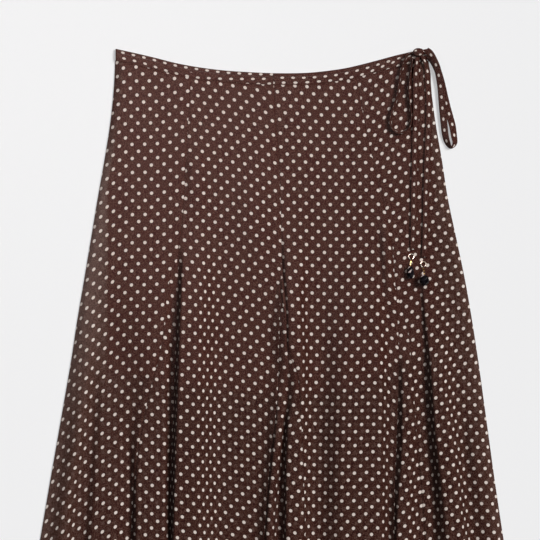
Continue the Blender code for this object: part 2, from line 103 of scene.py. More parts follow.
# %% Waist, sides and hem
WAIST_HALF, WAIST_DIP = 187.0, 29.0
CENTRE_LENGTH, HEM_LIFT = 802.0, 40.0
SIDE_LENGTH = WAIST_DIP + CENTRE_LENGTH - HEM_LIFT
BAND_TALL, BAND_THICK, GAP = 14.0, 2.4, 0.3
WAIST = (  # x and drop of its upper edge
    (-187, 0), (-172, 3.3), (-143, 10), (-114, 17.3), (-86, 22.4), (-57, 26), (-28, 28), (10, 29.4),
    (48, 28.5), (68, 26.4), (87, 23.6), (106, 19.4), (125, 14.5), (154, 6.8), (187, 0),
)
SIDES = (  # drop, how far the left and the right side seam are from the centre line
    (0, 187, 187), (40, 188.4, 190.4), (85, 192.6, 196), (135, 200.4, 204.4), (180, 208.3, 211.4),
    (230, 216.6, 222), (280, 225, 232.4), (330, 233.4, 241), (373, 239.9, 247.6),
    (420, 248, 254.1), (469, 256.6, 260.8), (520, 265.6, 267.9), (590, 277.6, 278.4),
    (832, 318, 318),
)


def left_side(drop):
    return -along_rows(SIDES, drop)[0]


def right_side(drop):
    return along_rows(SIDES, drop)[1]


def from_side(x, drop):
    """The distance from a point to the nearer side seam."""
    return np.minimum(x - left_side(drop), right_side(drop) - x)


def waist_drop(x):
    return smooth_through(WAIST, x)


def hem_drop(x):
    return SIDE_LENGTH + HEM_LIFT * (1 - (x / right_side(SIDE_LENGTH)) ** 2)


def drop_at(x, share):
    """The drop of the point at x that is this share of the way from the band to the hem."""
    top = waist_drop(x) + BAND_TALL
    return top + share * (hem_drop(x) - top)


def level(drop):
    """The world's Y of a drop, in millimetres."""
    return (WAIST_DIP + CENTRE_LENGTH) / 2 - drop


print("hem at the middle and the side seam:", [round(float(hem_drop(x)), 1) for x in (0.0, 318.0)])

# %% [markdown]
# ## Seams and godets
# Three seams run down the front. Each opens at its tip round a godet, a narrow wedge that adds
# fullness at the hem. A seam is kept as a stem and the two lines that it parts into.

# %% The three front seams
SEAMS = {  # rows are (drop, x)
    "left": {
        "stem": ((20, -95), (73, -99), (137, -102.6), (214, -107.8), (251, -112.2)),
        "left": ((251, -112.2), (281, -123), (326, -127.8), (367, -133.8), (402, -143.4),
                 (445, -153), (488, -160.2), (589, -168.6), (832, -187)),
        "right": ((251, -112.2), (296, -110.2), (343, -113.4), (410, -115.8), (499, -119.4),
                  (589, -121.2), (832, -127)),
    },
    "centre": {
        "stem": ((20, 1.8), (61, 3.6), (128, 8.8), (196, 11.2), (290, 11.2)),
        "left": ((290, 11.2), (344, 9.6), (398, 8.2), (434, 6.2), (474, 1.1), (535, -4.4),
                 (589, -8.4), (832, -24)),
        "right": ((290, 11.2), (337, 17.4), (364, 21), (385, 29.4), (434, 34.2), (502, 37.8),
                  (589, 40.2), (832, 47)),
    },
    "right": {
        "stem": ((20, 100), (55, 105.6), (86, 111), (152, 125.4), (223, 142.9), (287, 148.2)),
        "left": ((287, 148.2), (341, 151.8), (425, 151.8), (534, 148.2), (832, 148)),
        "right": ((287, 148.2), (337, 162.6), (397, 168.6), (466, 173.4), (515, 178.2),
                  (589, 183.4), (832, 202)),
    },
}
TIP_WIDE = 0.9


def seam_pair(name, drop):
    """The x of a seam's two lines. They are one line down to the tip."""
    seam = SEAMS[name]
    left = smooth_through(seam["left"], drop)
    right = smooth_through(seam["right"], drop)
    spread = np.maximum(TIP_WIDE - (right - left), 0) / 2
    stem = smooth_through(seam["stem"], drop)
    below = np.asarray(drop) >= seam["stem"][-1][0] - 0.5
    return np.where(below, left - spread, stem), np.where(below, right + spread, stem)


for seam in SEAMS:
    print(seam, "godet at the hem, mm wide:", round(float(np.diff(seam_pair(seam, 832.0))[0]), 1))

# %% [markdown]
# ## Folds
# Soft cloth that is laid down falls into long folds. A cloth simulation would not land each fold
# where the real one lies, so a table holds every fold. From left to right each one climbs, runs
# level along its crown and falls, and the table says where and how wide, at a few drops. The
# heights add up, and one below 0 is a crease. A fold in CREASED climbs more and more steeply up to
# a sharp crest, as pressed cloth does.

# %% The table of folds
# rows are (drop, x of the middle of the climb, widths of the climb, the crown and the fall, height)
FOLDS = {
    "left_edge": (
        (290, -222, 20, 2, 8, 0), (325, -226, 20, 2, 8, 3), (403, -234, 20, 2, 8, 6),
        (472, -243, 20, 2, 9, 8), (553, -256, 22, 2, 9, 9), (589, -261, 22, 2, 9, 9),
        (832, -302, 22, 3, 10, 11),
    ),
    "left_gore": (
        (375, -205, 10, 16, 20, 0), (403, -206, 10, 18, 20, 2), (439, -208, 11, 20, 20, 4),
        (499, -213, 11, 20, 22, 5), (589, -220, 13, 18, 24, 7), (832, -244, 14, 16, 24, 11),
    ),
    "left_godet": (
        (260, -170, 60, 12, 10, 0), (300, -168, 56, 12, 9, 4), (360, -166, 50, 14, 9, 7),
        (430, -165, 40, 16, 9, 9), (465, -165, 20, 26, 9, 9), (515, -165, 12, 29, 9, 11),
        (589, -165, 12, 30, 9, 13), (832, -180, 12, 35, 12, 16),
    ),
    "left_seam": (
        (230, -108.5, 6, 16, 22, 0), (262, -109, 6, 18, 24, 6), (300, -110.5, 6, 18, 28, 13),
        (350, -112, 6, 18, 31, 17.5), (450, -115.5, 6, 22, 31, 18.5),
        (589, -119.5, 6, 26, 31, 18.5), (832, -127, 7, 32, 34, 20),
    ),
    "centre_godet": (
        (355, 4, 14, 4, 8, 0), (395, 0, 18, 4, 8, 5), (430, 0.5, 15, 4, 8, 8),
        (470, -2.5, 14, 4, 7, 11), (529, -9.5, 16, 4, 7, 12), (589, -14, 17, 4, 8, 13),
        (832, -31, 16, 6, 14, 15),
    ),
    "centre_seam": (
        (225, 17, 5, 10, 22, 0), (262, 15, 10, 12, 14, 5), (300, 12, 22, 8, 12, 11),
        (325, 10, 30, 6, 12.5, 13), (350, 11, 32, 6, 12.5, 13.5), (415, 20, 18, 6, 12, 13),
        (440, 18.5, 8, 12, 14, 13), (470, 17.5, 4.5, 13, 16, 13), (589, 16, 4.5, 14, 18, 14),
        (832, 12, 6, 16, 22, 16),
    ),
    "centre_crease": (
        (215, 11.2, 1.8, 0.4, 1.8, 0), (240, 11.6, 1.8, 0.4, 1.8, -1.6),
        (266, 12.8, 1.8, 0.4, 1.8, -2.4), (307, 16.4, 1.8, 0.4, 1.8, -2.6),
        (350, 17.6, 1.8, 0.4, 1.8, -2.2), (385, 18, 1.8, 0.4, 1.8, 0),
    ),
    "right_gore": (
        (235, 78, 50, 10, 30, 0), (290, 76, 40, 26, 20, 5), (370, 74, 32, 38, 13, 10),
        (440, 71, 30, 44, 11, 11), (589, 72, 32, 42, 11, 12), (832, 66, 32, 50, 16, 13),
    ),
    "right_ripple": (
        (195, 131, 8, 3, 8, 0), (230, 132, 8, 3, 7, 4), (280, 135, 8, 3, 7, 4.5),
        (325, 141, 8, 4, 8, 0),
    ),
    "right_godet": (
        (350, 152, 10, 6, 14, 0), (390, 152.5, 9, 6, 14, 5), (430, 152.5, 9, 8, 14, 8),
        (493, 150.5, 10, 8, 14, 10), (530, 147, 11, 8, 16, 11), (589, 144, 11, 10, 18, 12),
        (832, 139, 12, 12, 22, 14),
    ),
    "right_seam": (
        (266, 179, 8, 8, 24, 0), (289, 180.5, 5, 8, 24, 4), (319, 182.5, 5, 8, 24, 6),
        (349, 185.5, 5, 8, 24, 8), (379, 188.5, 4.5, 8, 24, 12), (409, 190.4, 4.5, 9, 20, 14),
        (469, 194.2, 6, 14, 18, 15), (529, 199, 14, 13, 14, 16), (589, 202.5, 22, 13, 14, 17),
        (832, 230, 16, 13, 18, 20),
    ),
    "right_edge": (
        (420, 234, 10, 8, 14, 0), (475, 236, 11, 8, 14, 4), (529, 244, 18, 5, 14, 5),
        (589, 252, 22, 4, 14, 6), (832, 272, 22, 6, 18, 9),
    ),
    "pucker": (
        (110, -100, 10, 6, 8, 0), (135, -99, 10, 7, 7, 2.2), (165, -98, 10, 9, 7, 2.6),
        (185, -98, 10, 9, 7, 1.5), (205, -98, 10, 9, 8, 0),
    ),
}
CREASED = {"left_seam": 1.6, "centre_godet": 2.0, "right_godet": 1.8}  # power of the climb
# a soft bulge beside the centre seam, as (x, drop), how far it reaches each way, and its rise
BULGE_AT, BULGE_REACH, BULGE_RISE = (-22.0, 196.0), (22.0, 50.0), 4.0
print("folds:", len(FOLDS))

# %% [markdown]
# The front lies on the lining and the back, and it rolls down to the back at the side seams. So its
# height is the height of what it lies on, plus the folds, eased down to the edge.

# %% The front's broad form
# heights of the middle of the wall, where the lining ends, and how wide the roll at each side is
LINED_MID, UNLINED_MID, EDGE_MID = 4.7, 2.8, 1.0
LINING_ENDS, EDGE_ROLL = (400.0, 140.0), 9.0


def broad_height(x, drop):
    """The height of the middle of the front's wall, without its fine relief."""
    rest = LINED_MID + (UNLINED_MID - LINED_MID) * past(drop, LINING_ENDS)
    relief = 0
    for name, rows in FOLDS.items():
        middle, climb, crown, fall, high = along_rows(rows, drop)
        foot = middle - climb / 2
        part = np.clip((x - foot) / climb, 0, 1)
        up = part ** CREASED[name] if name in CREASED else ease(part)
        down = ease((x - foot - climb - crown) / fall)
        relief = relief + high * (up - down)
    away = ((x - BULGE_AT[0]) / BULGE_REACH[0]) ** 2 + ((drop - BULGE_AT[1]) / BULGE_REACH[1]) ** 2
    relief = relief + BULGE_RISE * np.exp(-away)
    inward = np.clip(from_side(x, drop) / EDGE_ROLL, 0, 1)
    return EDGE_MID + (rest + relief - EDGE_MID) * (1 - (1 - inward) ** 2)


print("height at the crown of the left fold, mm:", round(float(broad_height(-105.0, 500.0)), 1))

# %% [markdown]
# A sewn seam pulls the cloth into a narrow trough, with a faint step where the seam allowance lies
# beneath and small puckers along it. All three are fainter above the godet, where the pull is even.
# The free cloth also waves a little. These are made as true shape, so that light rakes over them
# from any side.

# %% Seam troughs, puckers and slow waves
TROUGH_DEEP, TROUGH_WIDE, ALLOWANCE, ALLOWANCE_WIDE, PUCKER = 0.8, 1.3, 0.3, 11.0, 0.3
STEP_UP, STEP_DOWN = 2.0, 3.0   # how wide the allowance's step rises and falls
PUCKER_WAVES, PUCKER_WIDE = (3.1, 7.3), 7.0
UPPER_SHARE, OPENS = 0.3, (60.0, 90.0)   # what is left above, and from how far under the tip
TUCK_DEEP, TUCK_WIDE, EDGE_CALM = 0.15, 2.2, 12.0   # at the band, and beside the side seams


def seam_relief(x, drop):
    relief = 0
    for name, phase in (("left", 0.0), ("centre", 2.1), ("right", 4.0)):
        left, right = seam_pair(name, drop)
        below_tip = drop - SEAMS[name]["stem"][-1][0]
        share = UPPER_SHARE + (1 - UPPER_SHARE) * past(below_tip, OPENS)
        for line, turn in ((left, -1), (right, 1)):
            away = x - line
            trough = -TROUGH_DEEP * np.exp(-((away / TROUGH_WIDE) ** 2))
            inside = ALLOWANCE_WIDE - turn * away
            ridge = ALLOWANCE * ease(turn * away / STEP_UP) * ease(inside / STEP_DOWN)
            wave = np.sin(drop / PUCKER_WAVES[0] + phase) * np.sin(drop / PUCKER_WAVES[1] + turn)
            ripple = PUCKER * wave * np.exp(-((away / PUCKER_WIDE) ** 2))
            relief = relief + (trough + ridge + ripple) * share
    return relief


def slow_waves(x, drop):
    """Three sets of waves, each lower and shorter than the one before."""
    return (
        0.34 * np.sin(x / 19 + drop / 67) * np.sin(drop / 41 - x / 83)
        + 0.22 * np.sin(x / 9.5 - drop / 88 + 1.3) * np.sin(drop / 29 + 0.4)
        + 0.12 * np.sin(x / 5.1 + drop / 31)
    )


def front_height(x, drop):
    top = drop - waist_drop(x) - BAND_TALL
    tuck = TUCK_DEEP * np.exp(-((top / TUCK_WIDE) ** 2))
    inward = ease(from_side(x, drop) / EDGE_CALM)
    return broad_height(x, drop) - tuck + inward * (seam_relief(x, drop) + slow_waves(x, drop))


def front_frame(x, drop):
    """Points in the middle of the front's wall, and its directions outwards."""
    step = 0.4
    z = front_height(x, drop)
    across = (front_height(x + step, drop) - front_height(x - step, drop)) / (2 * step)
    down = (front_height(x, drop + step) - front_height(x, drop - step)) / (2 * step)
    normals = together(-across, down, 1.0)
    return together(x, level(drop), z), normals / np.linalg.norm(normals, axis=-1, keepdims=True)


print("a seam's trough, mm deep:", TROUGH_DEEP)

# %% [markdown]
# ## The cloth's own grid
# The spots are printed on the cloth before it is cut, so they follow the cloth and not the eye: on
# a fold's steep side they look squeezed, and in each panel their rows run at that panel's own
# angle. A UV map gives every point its place on the flat cloth. Across, that is the distance along
# the surface. The rows' rise and the columns' lean come from a short table for each panel.

# %% Distance along the surface, and each panel's grain
# anchor is one spot's place. pitch is (across, down). rise rows are (x, degrees that a row rises to
# the right), and lean rows are (drop, degrees that a column leans to the right going down). tight
# is how much closer the rows lie near the waist, and flatter is how much less they rise near the
# hem. gather rows are (x, mm of cloth that fine crumples take up in each mm across).
GRAIN = {
    "side_gore_left": {
        "anchor": (-151.4, 148.2), "pitch": (15.2, 16.83), "flatter": 0.1,
        "rise": ((-290, 40), (-240, 34), (-210, 26), (-190, 21), (-180, 12), (-165, 2),
                 (-130, 6), (-95, 6)),
        "lean": ((60, 2), (180, 0), (300, -1.4), (832, -3)),
    },
    "centre_gore_left": {
        "anchor": (-45.8, 202.2), "pitch": (14.4, 16.9), "tight": 0.018,
        "gather": ((-95, 0), (-86, 0.22), (-77, 0.36), (-70, 0.25), (-62, 0.13), (-52, 0)),
        "rise": ((-125, -5), (-60, -7), (-20, -11), (10, -14)),
        "lean": ((60, 6), (120, 3), (180, 0), (240, -3), (360, -2.6), (480, 0), (560, 3), (832, 3)),
    },
    "centre_gore_right": {
        "anchor": (56.1, 202.7), "pitch": (14.4, 16.45),
        "rise": ((10, -3), (60, -3), (90, 1), (115, 2), (130, -10), (150, -25)),
        "lean": ((13, 7), (60, 5), (120, 2), (180, 0.6), (240, 0), (360, -1.5), (480, -1.2),
                 (832, 1)),
    },
    "side_gore_right": {
        "anchor": (181.6, 328.3), "pitch": (13.2, 16.85),
        "rise": ((105, 20), (150, 20), (180, 15), (205, 12), (230, 7), (250, 0), (290, -6)),
        "lean": ((60, 5), (120, 5.2), (180, 5.8), (290, 7.3), (330, 3), (370, 2.5), (420, 5),
                 (480, 4), (560, 2), (832, 2)),
    },
    "godet_left": {
        "anchor": (-142.2, 505.3), "pitch": (14.3, 16.9),
        "rise": ((-165, 0), (-120, -7)),
        "lean": ((360, 6), (420, 2), (560, -1), (832, -2)),
    },
    "godet_centre": {
        "anchor": (10.8, 498.6), "pitch": (14.4, 16.9),
        "rise": ((-10, -13), (40, -13)),
        "lean": ((360, -10), (480, -9), (560, -5), (832, -3)),
    },
    "godet_right": {
        "anchor": (154.8, 478.9), "pitch": (13.5, 16.9),
        "rise": ((148, 16), (200, 16)),
        "lean": ((360, 14), (420, 10.5), (480, 8), (560, 6), (832, 5)),
    },
}
# where gather and flatter start, as (drop, over how far), and the drop that tight ends at
GATHER_FROM, FLATTER_FROM, TIGHT_ABOVE = (225, 70), (280, 240), 210
TABLE_STEP = 5.0
reach_x, reach_drop = np.arange(-330.0, 331.0), np.arange(0.0, 846.0, TABLE_STEP)
surface = broad_height(reach_x[None, :], reach_drop[:, None])
steps = np.hypot(1.0, np.diff(surface, axis=1))
surface_way = np.concatenate([np.zeros((len(reach_drop), 1)), np.cumsum(steps, axis=1)], axis=1)


def way_across(x, drop):
    """The distance along the surface from the far left, read between the rows of a table."""
    x, drop = np.broadcast_arrays(np.asarray(x, float), np.asarray(drop, float))
    column = np.clip(x - reach_x[0], 0, len(reach_x) - 1.001)
    row = np.clip(drop / TABLE_STEP, 0, len(reach_drop) - 1.001)
    c, r = column.astype(int), row.astype(int)
    part_c, part_r = column - c, row - r
    upper = surface_way[r, c] * (1 - part_c) + surface_way[r, c + 1] * part_c
    lower = surface_way[r + 1, c] * (1 - part_c) + surface_way[r + 1, c + 1] * part_c
    return upper * (1 - part_r) + lower * part_r


def summed_slope(rows, start, at):
    """How far a line that leans by these degrees has moved between start and each place."""
    places = np.arange(min(start, at.min()) - 1, max(start, at.max()) + 2, 1.0)
    slopes = np.tan(np.radians(smooth_through(rows, places)))
    moved = running((slopes[1:] + slopes[:-1]) / 2)
    return np.interp(at, places, moved) - np.interp(start, places, moved)


def cloth_place(panel, x, drop):
    """The place on the flat cloth of points of a panel: across and down from its anchor spot."""
    grain = GRAIN[panel]
    x0, drop0 = grain["anchor"]
    across = way_across(x, drop) - way_across(x0, drop) - summed_slope(grain["lean"], drop0, drop)
    if "gather" in grain:
        places, shares = np.array(grain["gather"]).T
        taken = np.cumsum(np.interp(reach_x, places, shares, 0, 0))
        taken = np.interp(x, reach_x, taken) - np.interp(x0, reach_x, taken)
        across = across + taken * past(drop, GATHER_FROM)
    rise = summed_slope(grain["rise"], x0, x)
    rise = rise * (1 - grain.get("flatter", 0) * past(drop, FLATTER_FROM))
    down = drop - drop0 + grain.get("tight", 0) * np.minimum(drop - TIGHT_ABOVE, 0) + rise
    return together(across, down)


hem_cloth = way_across(318.0, 780.0) - way_across(-318.0, 780.0)
print("cloth across the hem, mm:", round(float(hem_cloth)))

# %% [markdown]
# ## Thin cloth walls
# Cloth is a thin closed wall: a grid of points, the same grid a little lower, and a rim that joins
# them. One function makes it from two grids. It also writes the place on the flat cloth as a UV
# map, and two attributes: how much of the lining lies behind, and how much the pale table shows
# through, with painted light that makes it stronger on the left.

# %% A wall between two grids
LINING_HALF, LINING_INSET = 196.0, 10.0
LINING_HEM = ((-200, 387), (0, 412), (90, 409), (160, 371), (200, 362))  # x, drop
SIDE_SOFT, HEM_SOFT = 4.0, 5.0
# at each side seam, how strong the seen-through table and its painted light are, and how far in; and
# where that starts and fades
TABLE_LIGHT_LEFT, TABLE_LIGHT_RIGHT = (1.35, 28.0), (0.5, 16.0)
TABLE_LIGHT_FROM, TABLE_LIGHT_FADES, TABLE_LIGHT_FADE = (70, 90), (330, 140), 0.42


def lined_share(x, drop):
    """1 where the lining lies behind the front, 0 where it doesn't, soft between."""
    beside = np.minimum(LINING_HALF - np.abs(x), from_side(x, drop) - LINING_INSET)
    above = smooth_through(LINING_HEM, x) - drop
    return ease(beside / SIDE_SOFT + 0.5) * ease(above / HEM_SOFT + 0.5)


def table_light_share(x, drop):
    """How much the pale table shows through the sheer cloth beside the lining, with painted light that
    makes it stronger on the left and fainter towards the hem.
    """
    left = TABLE_LIGHT_LEFT[0] * np.exp((left_side(drop) - x) / TABLE_LIGHT_LEFT[1])
    left = left * past(drop, TABLE_LIGHT_FROM) * (1 - TABLE_LIGHT_FADE * past(drop, TABLE_LIGHT_FADES))
    right = TABLE_LIGHT_RIGHT[0] * np.exp((x - right_side(drop)) / TABLE_LIGHT_RIGHT[1])
    return (left + right) * (1 - lined_share(x, drop))


def add_object(name, data):
    made = bpy.data.objects.new(name, data)
    bpy.context.scene.collection.objects.link(made)
    return made


def new_piece(name, points, faces, place=None, shares=None):
    """A smooth mesh object from points in millimetres, riding on the one body."""
    mesh = bpy.data.meshes.new(name)
    mesh.from_pydata(np.asarray(points, float) * MM, [], faces)
    if place is not None:
        corners = np.empty(len(mesh.loops), int)
        mesh.loops.foreach_get("vertex_index", corners)
        uv = mesh.uv_layers.new(name="cloth")
        uv.uv.foreach_set("vector", (np.asarray(place, float) * MM)[corners].ravel())
    for label, values in (shares or {}).items():
        kept = mesh.attributes.new(label, "FLOAT", "POINT")
        kept.data.foreach_set("value", np.asarray(values, float).ravel())
    mesh.shade_smooth()
    piece = add_object(name, mesh)
    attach(piece, "root")
    return piece


def stand_for(piece, node_name):
    """Hides the solid node that a piece takes the place of."""
    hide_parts(node_name)
    return piece


def grid_wall(name, upper, lower, place=None, shares=None):
    """A closed wall between two grids, rows running down and columns to the right."""
    rows, columns = upper.shape[:2]
    under = rows * columns
    at = np.arange(under).reshape(rows, columns)
    quads = together(at[:-1, :-1], at[1:, :-1], at[1:, 1:], at[:-1, 1:]).reshape(-1, 4)
    faces = quads.tolist() + (quads[:, [0, 3, 2, 1]] + under).tolist()
    rim = np.concatenate([at[0, :-1], at[:-1, -1], at[-1, :0:-1], at[:0:-1, 0]]).tolist()
    faces += [(i, j, under + j, under + i) for i, j in zip(rim, rim[1:] + rim[:1])]
    points = np.concatenate([upper.reshape(-1, 3), lower.reshape(-1, 3)])
    twice = None if place is None else np.concatenate([place.reshape(-1, 2)] * 2)
    both = {label: np.tile(values.ravel(), 2) for label, values in (shares or {}).items()}
    return new_piece(name, points, faces, twice, both)


def cloth_area(piece):
    """Half the surface of a closed wall, in square metres."""
    return sum(face.area for face in piece.data.polygons) / 2


print("a lined place and an unlined one:", lined_share(0.0, 200.0), lined_share(0.0, 600.0))

# %% [markdown]
# ## The front panels
# Four gores and three godets. Their rows run from band to hem. Their columns are spaced along the
# surface, so that a fold's steep side gets as many as it needs, and they crowd towards the seams,
# where the troughs are. Each panel takes the place of one plain solid.

# %% Gores and godets
ROWS, GORE_COLUMNS, GODET_COLUMNS, CROWDING = 150, 60, 26, 0.65
WALL_OUT, WALL_IN = 0.6, 0.15   # the cloth's two faces, above the middle of the solid's wall


def crowded(count):
    """Shares from 0 to 1 that lie closer together near both ends."""
    even = np.linspace(0, 1, count + 1)
    return (1 - CROWDING) * even + CROWDING * (1 - np.cos(math.pi * even)) / 2


def follow(edge, share):
    """The x where an edge, a function that gives x at a drop, has this share."""
    drop = 400.0
    for _ in range(12):
        x = float(edge(drop))
        drop = float(drop_at(x, share))
    return x


def panel(name, left_edge, right_edge, first_share, columns):
    shares = np.linspace(first_share, 1, max(8, round(ROWS * (1 - first_share))) + 1)
    rows = []
    for share in shares:
        fine = np.linspace(follow(left_edge, share), follow(right_edge, share), 400)
        lie = broad_height(fine, drop_at(fine, share))
        way = running(np.hypot(np.diff(fine), np.diff(lie)))
        rows.append(np.interp(crowded(columns) * way[-1], way, fine))
    x = np.array(rows)
    drop = drop_at(x, shares[:, None])
    points, normals = front_frame(x, drop)
    # the attribute for the table showing through also carries painted light, stronger on the left
    piece = grid_wall(
        name, points + normals * WALL_OUT, points + normals * WALL_IN,
        cloth_place(name, x, drop),
        {"lined": lined_share(x, drop), "table_light": table_light_share(x, drop)},
    )
    return stand_for(piece, "front_" + name)


def seam_line(seam, line):
    return lambda drop: seam_pair(seam, drop)[line]


lefts = [left_side] + [seam_line(name, 1) for name in SEAMS]
rights = [seam_line(name, 0) for name in SEAMS] + [right_side]
gore_names = ("side_gore_left", "centre_gore_left", "centre_gore_right", "side_gore_right")
front = {
    name: panel(name, left, right, 0.0, GORE_COLUMNS)
    for name, left, right in zip(gore_names, lefts, rights)
}
for seam in SEAMS:
    tip_drop, tip_x = SEAMS[seam]["stem"][-1]
    top = float(drop_at(tip_x, 0.0))
    tip = (tip_drop - top) / (float(hem_drop(tip_x)) - top)
    front["godet_" + seam] = panel(
        "godet_" + seam, seam_line(seam, 0), seam_line(seam, 1), tip, GODET_COLUMNS)
for name, piece in front.items():
    print(name, "square metres of cloth:", round(cloth_area(piece), 4))

# %% [markdown]
# ## The back and the lining
# The back lies flat on the table and the two lining panels lie between back and front. They are
# hardly seen, so they are plain thin sheets, but the back carries the same spots, on straight
# grain.

# %% Back panel and lining
BACK_THICK, LINING_MIDS, LINING_THICK = 0.5, {"back": 2.0, "front": 3.3}, 0.4
BACK_ROWS, LINING_ROWS, SHEET_COLUMNS = 61, 25, 41


def flat_sheet(name, x, drop, low, thick, node_name, place=None):
    upper, lower = together(x, level(drop), low + thick), together(x, level(drop), low)
    return stand_for(grid_wall(name, upper, lower, place), node_name)


shares = np.linspace(0, 1, BACK_ROWS)
ends = np.array([(follow(left_side, share), follow(right_side, share)) for share in shares])
x = ends[:, :1] + (ends[:, 1:] - ends[:, :1]) * np.linspace(0, 1, SHEET_COLUMNS)
drop = drop_at(x, shares[:, None])
back = flat_sheet("back", x, drop, 0.0, BACK_THICK, "back_panel",
                  together(x, drop))

linings = {}
for name, middle in LINING_MIDS.items():
    rows = []
    for share in np.linspace(0, 1, LINING_ROWS):
        x = np.linspace(-1, 1, SHEET_COLUMNS) * LINING_HALF
        for _ in range(3):
            top = waist_drop(x) + BAND_TALL + 2 * GAP
            drop = top + share * (smooth_through(LINING_HEM, x) - top)
            side = np.where(x < 0, -left_side(drop), right_side(drop))
            x = np.linspace(-1, 1, SHEET_COLUMNS) * np.minimum(LINING_HALF, side - LINING_INSET)
        rows.append((x, drop))
    x, drop = (np.array(values) for values in zip(*rows))
    linings[name] = flat_sheet(f"lining_{name}_sheet", x, drop, middle - LINING_THICK / 2,
                               LINING_THICK, f"lining_{name}")
print("back, square metres:", round(cloth_area(back), 4))

# %% [markdown]
# ## The waistband
# The band is a folded strip. Its upper edge is the fold, so it is round, and a narrow stitched
# trough runs along it, a third of the way down. Its section is drawn once and swept along the
# waist. The front has two halves that meet at the centre seam.

# %% Band section swept along the waist
BAND_SECTION = (  # share down the band, height of the outer face above the band's middle
    (0.0, -0.9), (0.02, -0.2), (0.06, 0.35), (0.14, 0.85), (0.23, 1.05), (0.3, 0.85), (0.34, 0.6),
    (0.38, 0.85), (0.45, 1.1), (0.55, 1.2), (0.65, 1.2), (0.75, 1.15), (0.84, 1.1), (0.92, 1.0),
    (0.97, 0.85), (1.0, 0.6),
)
BAND_TROUGH, BAND_PITCH, ROW_APART, SQUEEZE = 0.34, 12.9, 9.6, 1.6
BAND_HALF, BAND_JOIN_HALF, BAND_UNDER, BAND_WAVE = 186.8, 0.1, 1.15, 0.25
BAND_END_MID, BACK_BAND_MID = 3.9, 1.2   # heights of the middle of the band's wall
BAND_TOP_PLACE = -7.0   # no place on the cloth lies higher, so no third row of spots shows
# Each half shows two rows of spots. at is the x of a spot of the upper one. Rows are (x, how far
# the upper and the lower one lie below the edge, how far right of the upper one's the lower one's
# spots are).
BAND_SPOTS = {
    "left": {"at": -64.3, "rows": (
        (-187, 3, 9.6, 1.4), (-154, 3, 10, 1.4), (-127, 3.3, 12, 1.4), (-114, 3.2, 12.6, 1.5),
        (-88, 2.6, 12.8, 1.6), (-75, 2.5, 11.5, 2), (-62, 2.6, 10.6, 2.7), (-35, 2.3, 8.8, 3.2),
        (-10, 1.9, 7.4, 3.6), (2, 1.6, 6.4, 3.8))},
    "right": {"at": 64.4, "rows": (
        (2, 6, 11.8, 1.9), (17, 5.4, 11.4, 1.7), (34, 5.8, 11.6, 3.5), (52, 6.2, 11.5, 4.9),
        (64, 6.5, 12, 5.7), (90, 6.5, 12.6, 6.1), (108, 6, 12.3, 6.1), (120, 5.7, 11, 6),
        (132, 5.2, 9.2, 5.8), (144, 4.9, 7.7, 5.7), (187, 4.5, 7, 5.6))},
}


def band_place(side, x, down, way):
    """Places on the flat cloth. The band is pulled so tight that its spots are squeezed flat."""
    spots_at = BAND_SPOTS[side]
    upper, lower, shift = along_rows(spots_at["rows"], x)
    is_lower = down > (upper + lower) / 2
    across = way - np.interp(spots_at["at"], x, way) - is_lower * (shift - BAND_PITCH / 2)
    along = SQUEEZE * (down - np.where(is_lower, lower, upper)) + is_lower * ROW_APART
    return together(across, np.maximum(along, BAND_TOP_PLACE))


def band(name, start, end, node_name, middle_at, count, side=None):
    x = np.linspace(start, end, count + 1)[None, :]
    down, lift = np.array(BAND_SECTION).T[:, :, None]
    drop = waist_drop(x) + BAND_TALL * down
    middle = middle_at(x)
    wave = np.sin(x / 6.3) * np.sin(x / 17.0 + 2 * down) * np.sin(math.pi * down)
    upper = together(x, level(drop), middle + lift + BAND_WAVE * (wave - 1))
    lower = together(x, level(drop), middle - BAND_UNDER)
    way = running(np.hypot(np.diff(x[0]), np.diff(waist_drop(x[0]))))
    if side:
        place = band_place(side, x[0], BAND_TALL * down, way)
    else:
        place = together(way, BAND_TALL * down)
    return stand_for(grid_wall(name, upper, lower, place), node_name)


def front_band_middle(x):
    inward = np.clip((WAIST_HALF - np.abs(x)) / EDGE_ROLL, 0, 1)
    return BAND_END_MID + (LINED_MID - BAND_END_MID) * (1 - (1 - inward) ** 2)


band_join = SEAMS["centre"]["stem"][0][1]
bands = {
    "left": band("band_front_left", -BAND_HALF, band_join - BAND_JOIN_HALF,
                 "waistband_front_left", front_band_middle, 110, "left"),
    "right": band("band_front_right", band_join + BAND_JOIN_HALF, BAND_HALF,
                  "waistband_front_right", front_band_middle, 110, "right"),
    "back": band("band_back", -BAND_HALF, BAND_HALF, "waistband_back",
                 lambda x: BACK_BAND_MID, 120),
}
print("band, mm tall:", BAND_TALL)

# %% [markdown]
# ## The bow
# Each tie is a narrow tube of the same cloth, pressed flat. A loop leaves the knot, turns and comes
# back, and a tail hangs down with a charm at its end. One function sweeps a flattened section along
# a smooth path. The path's table gives places, heights and how far the tube leans over.

# %% Sweep a flattened tube
def flattened_section(wide, thick, count=20):
    """A flattened tube's section, as (along its width, along its thickness)."""
    turns = math.tau * np.arange(count) / count
    deep = np.copysign(np.abs(np.sin(turns)) ** 0.6, np.sin(turns))
    return together(wide / 2 * np.cos(turns), thick / 2 * deep)


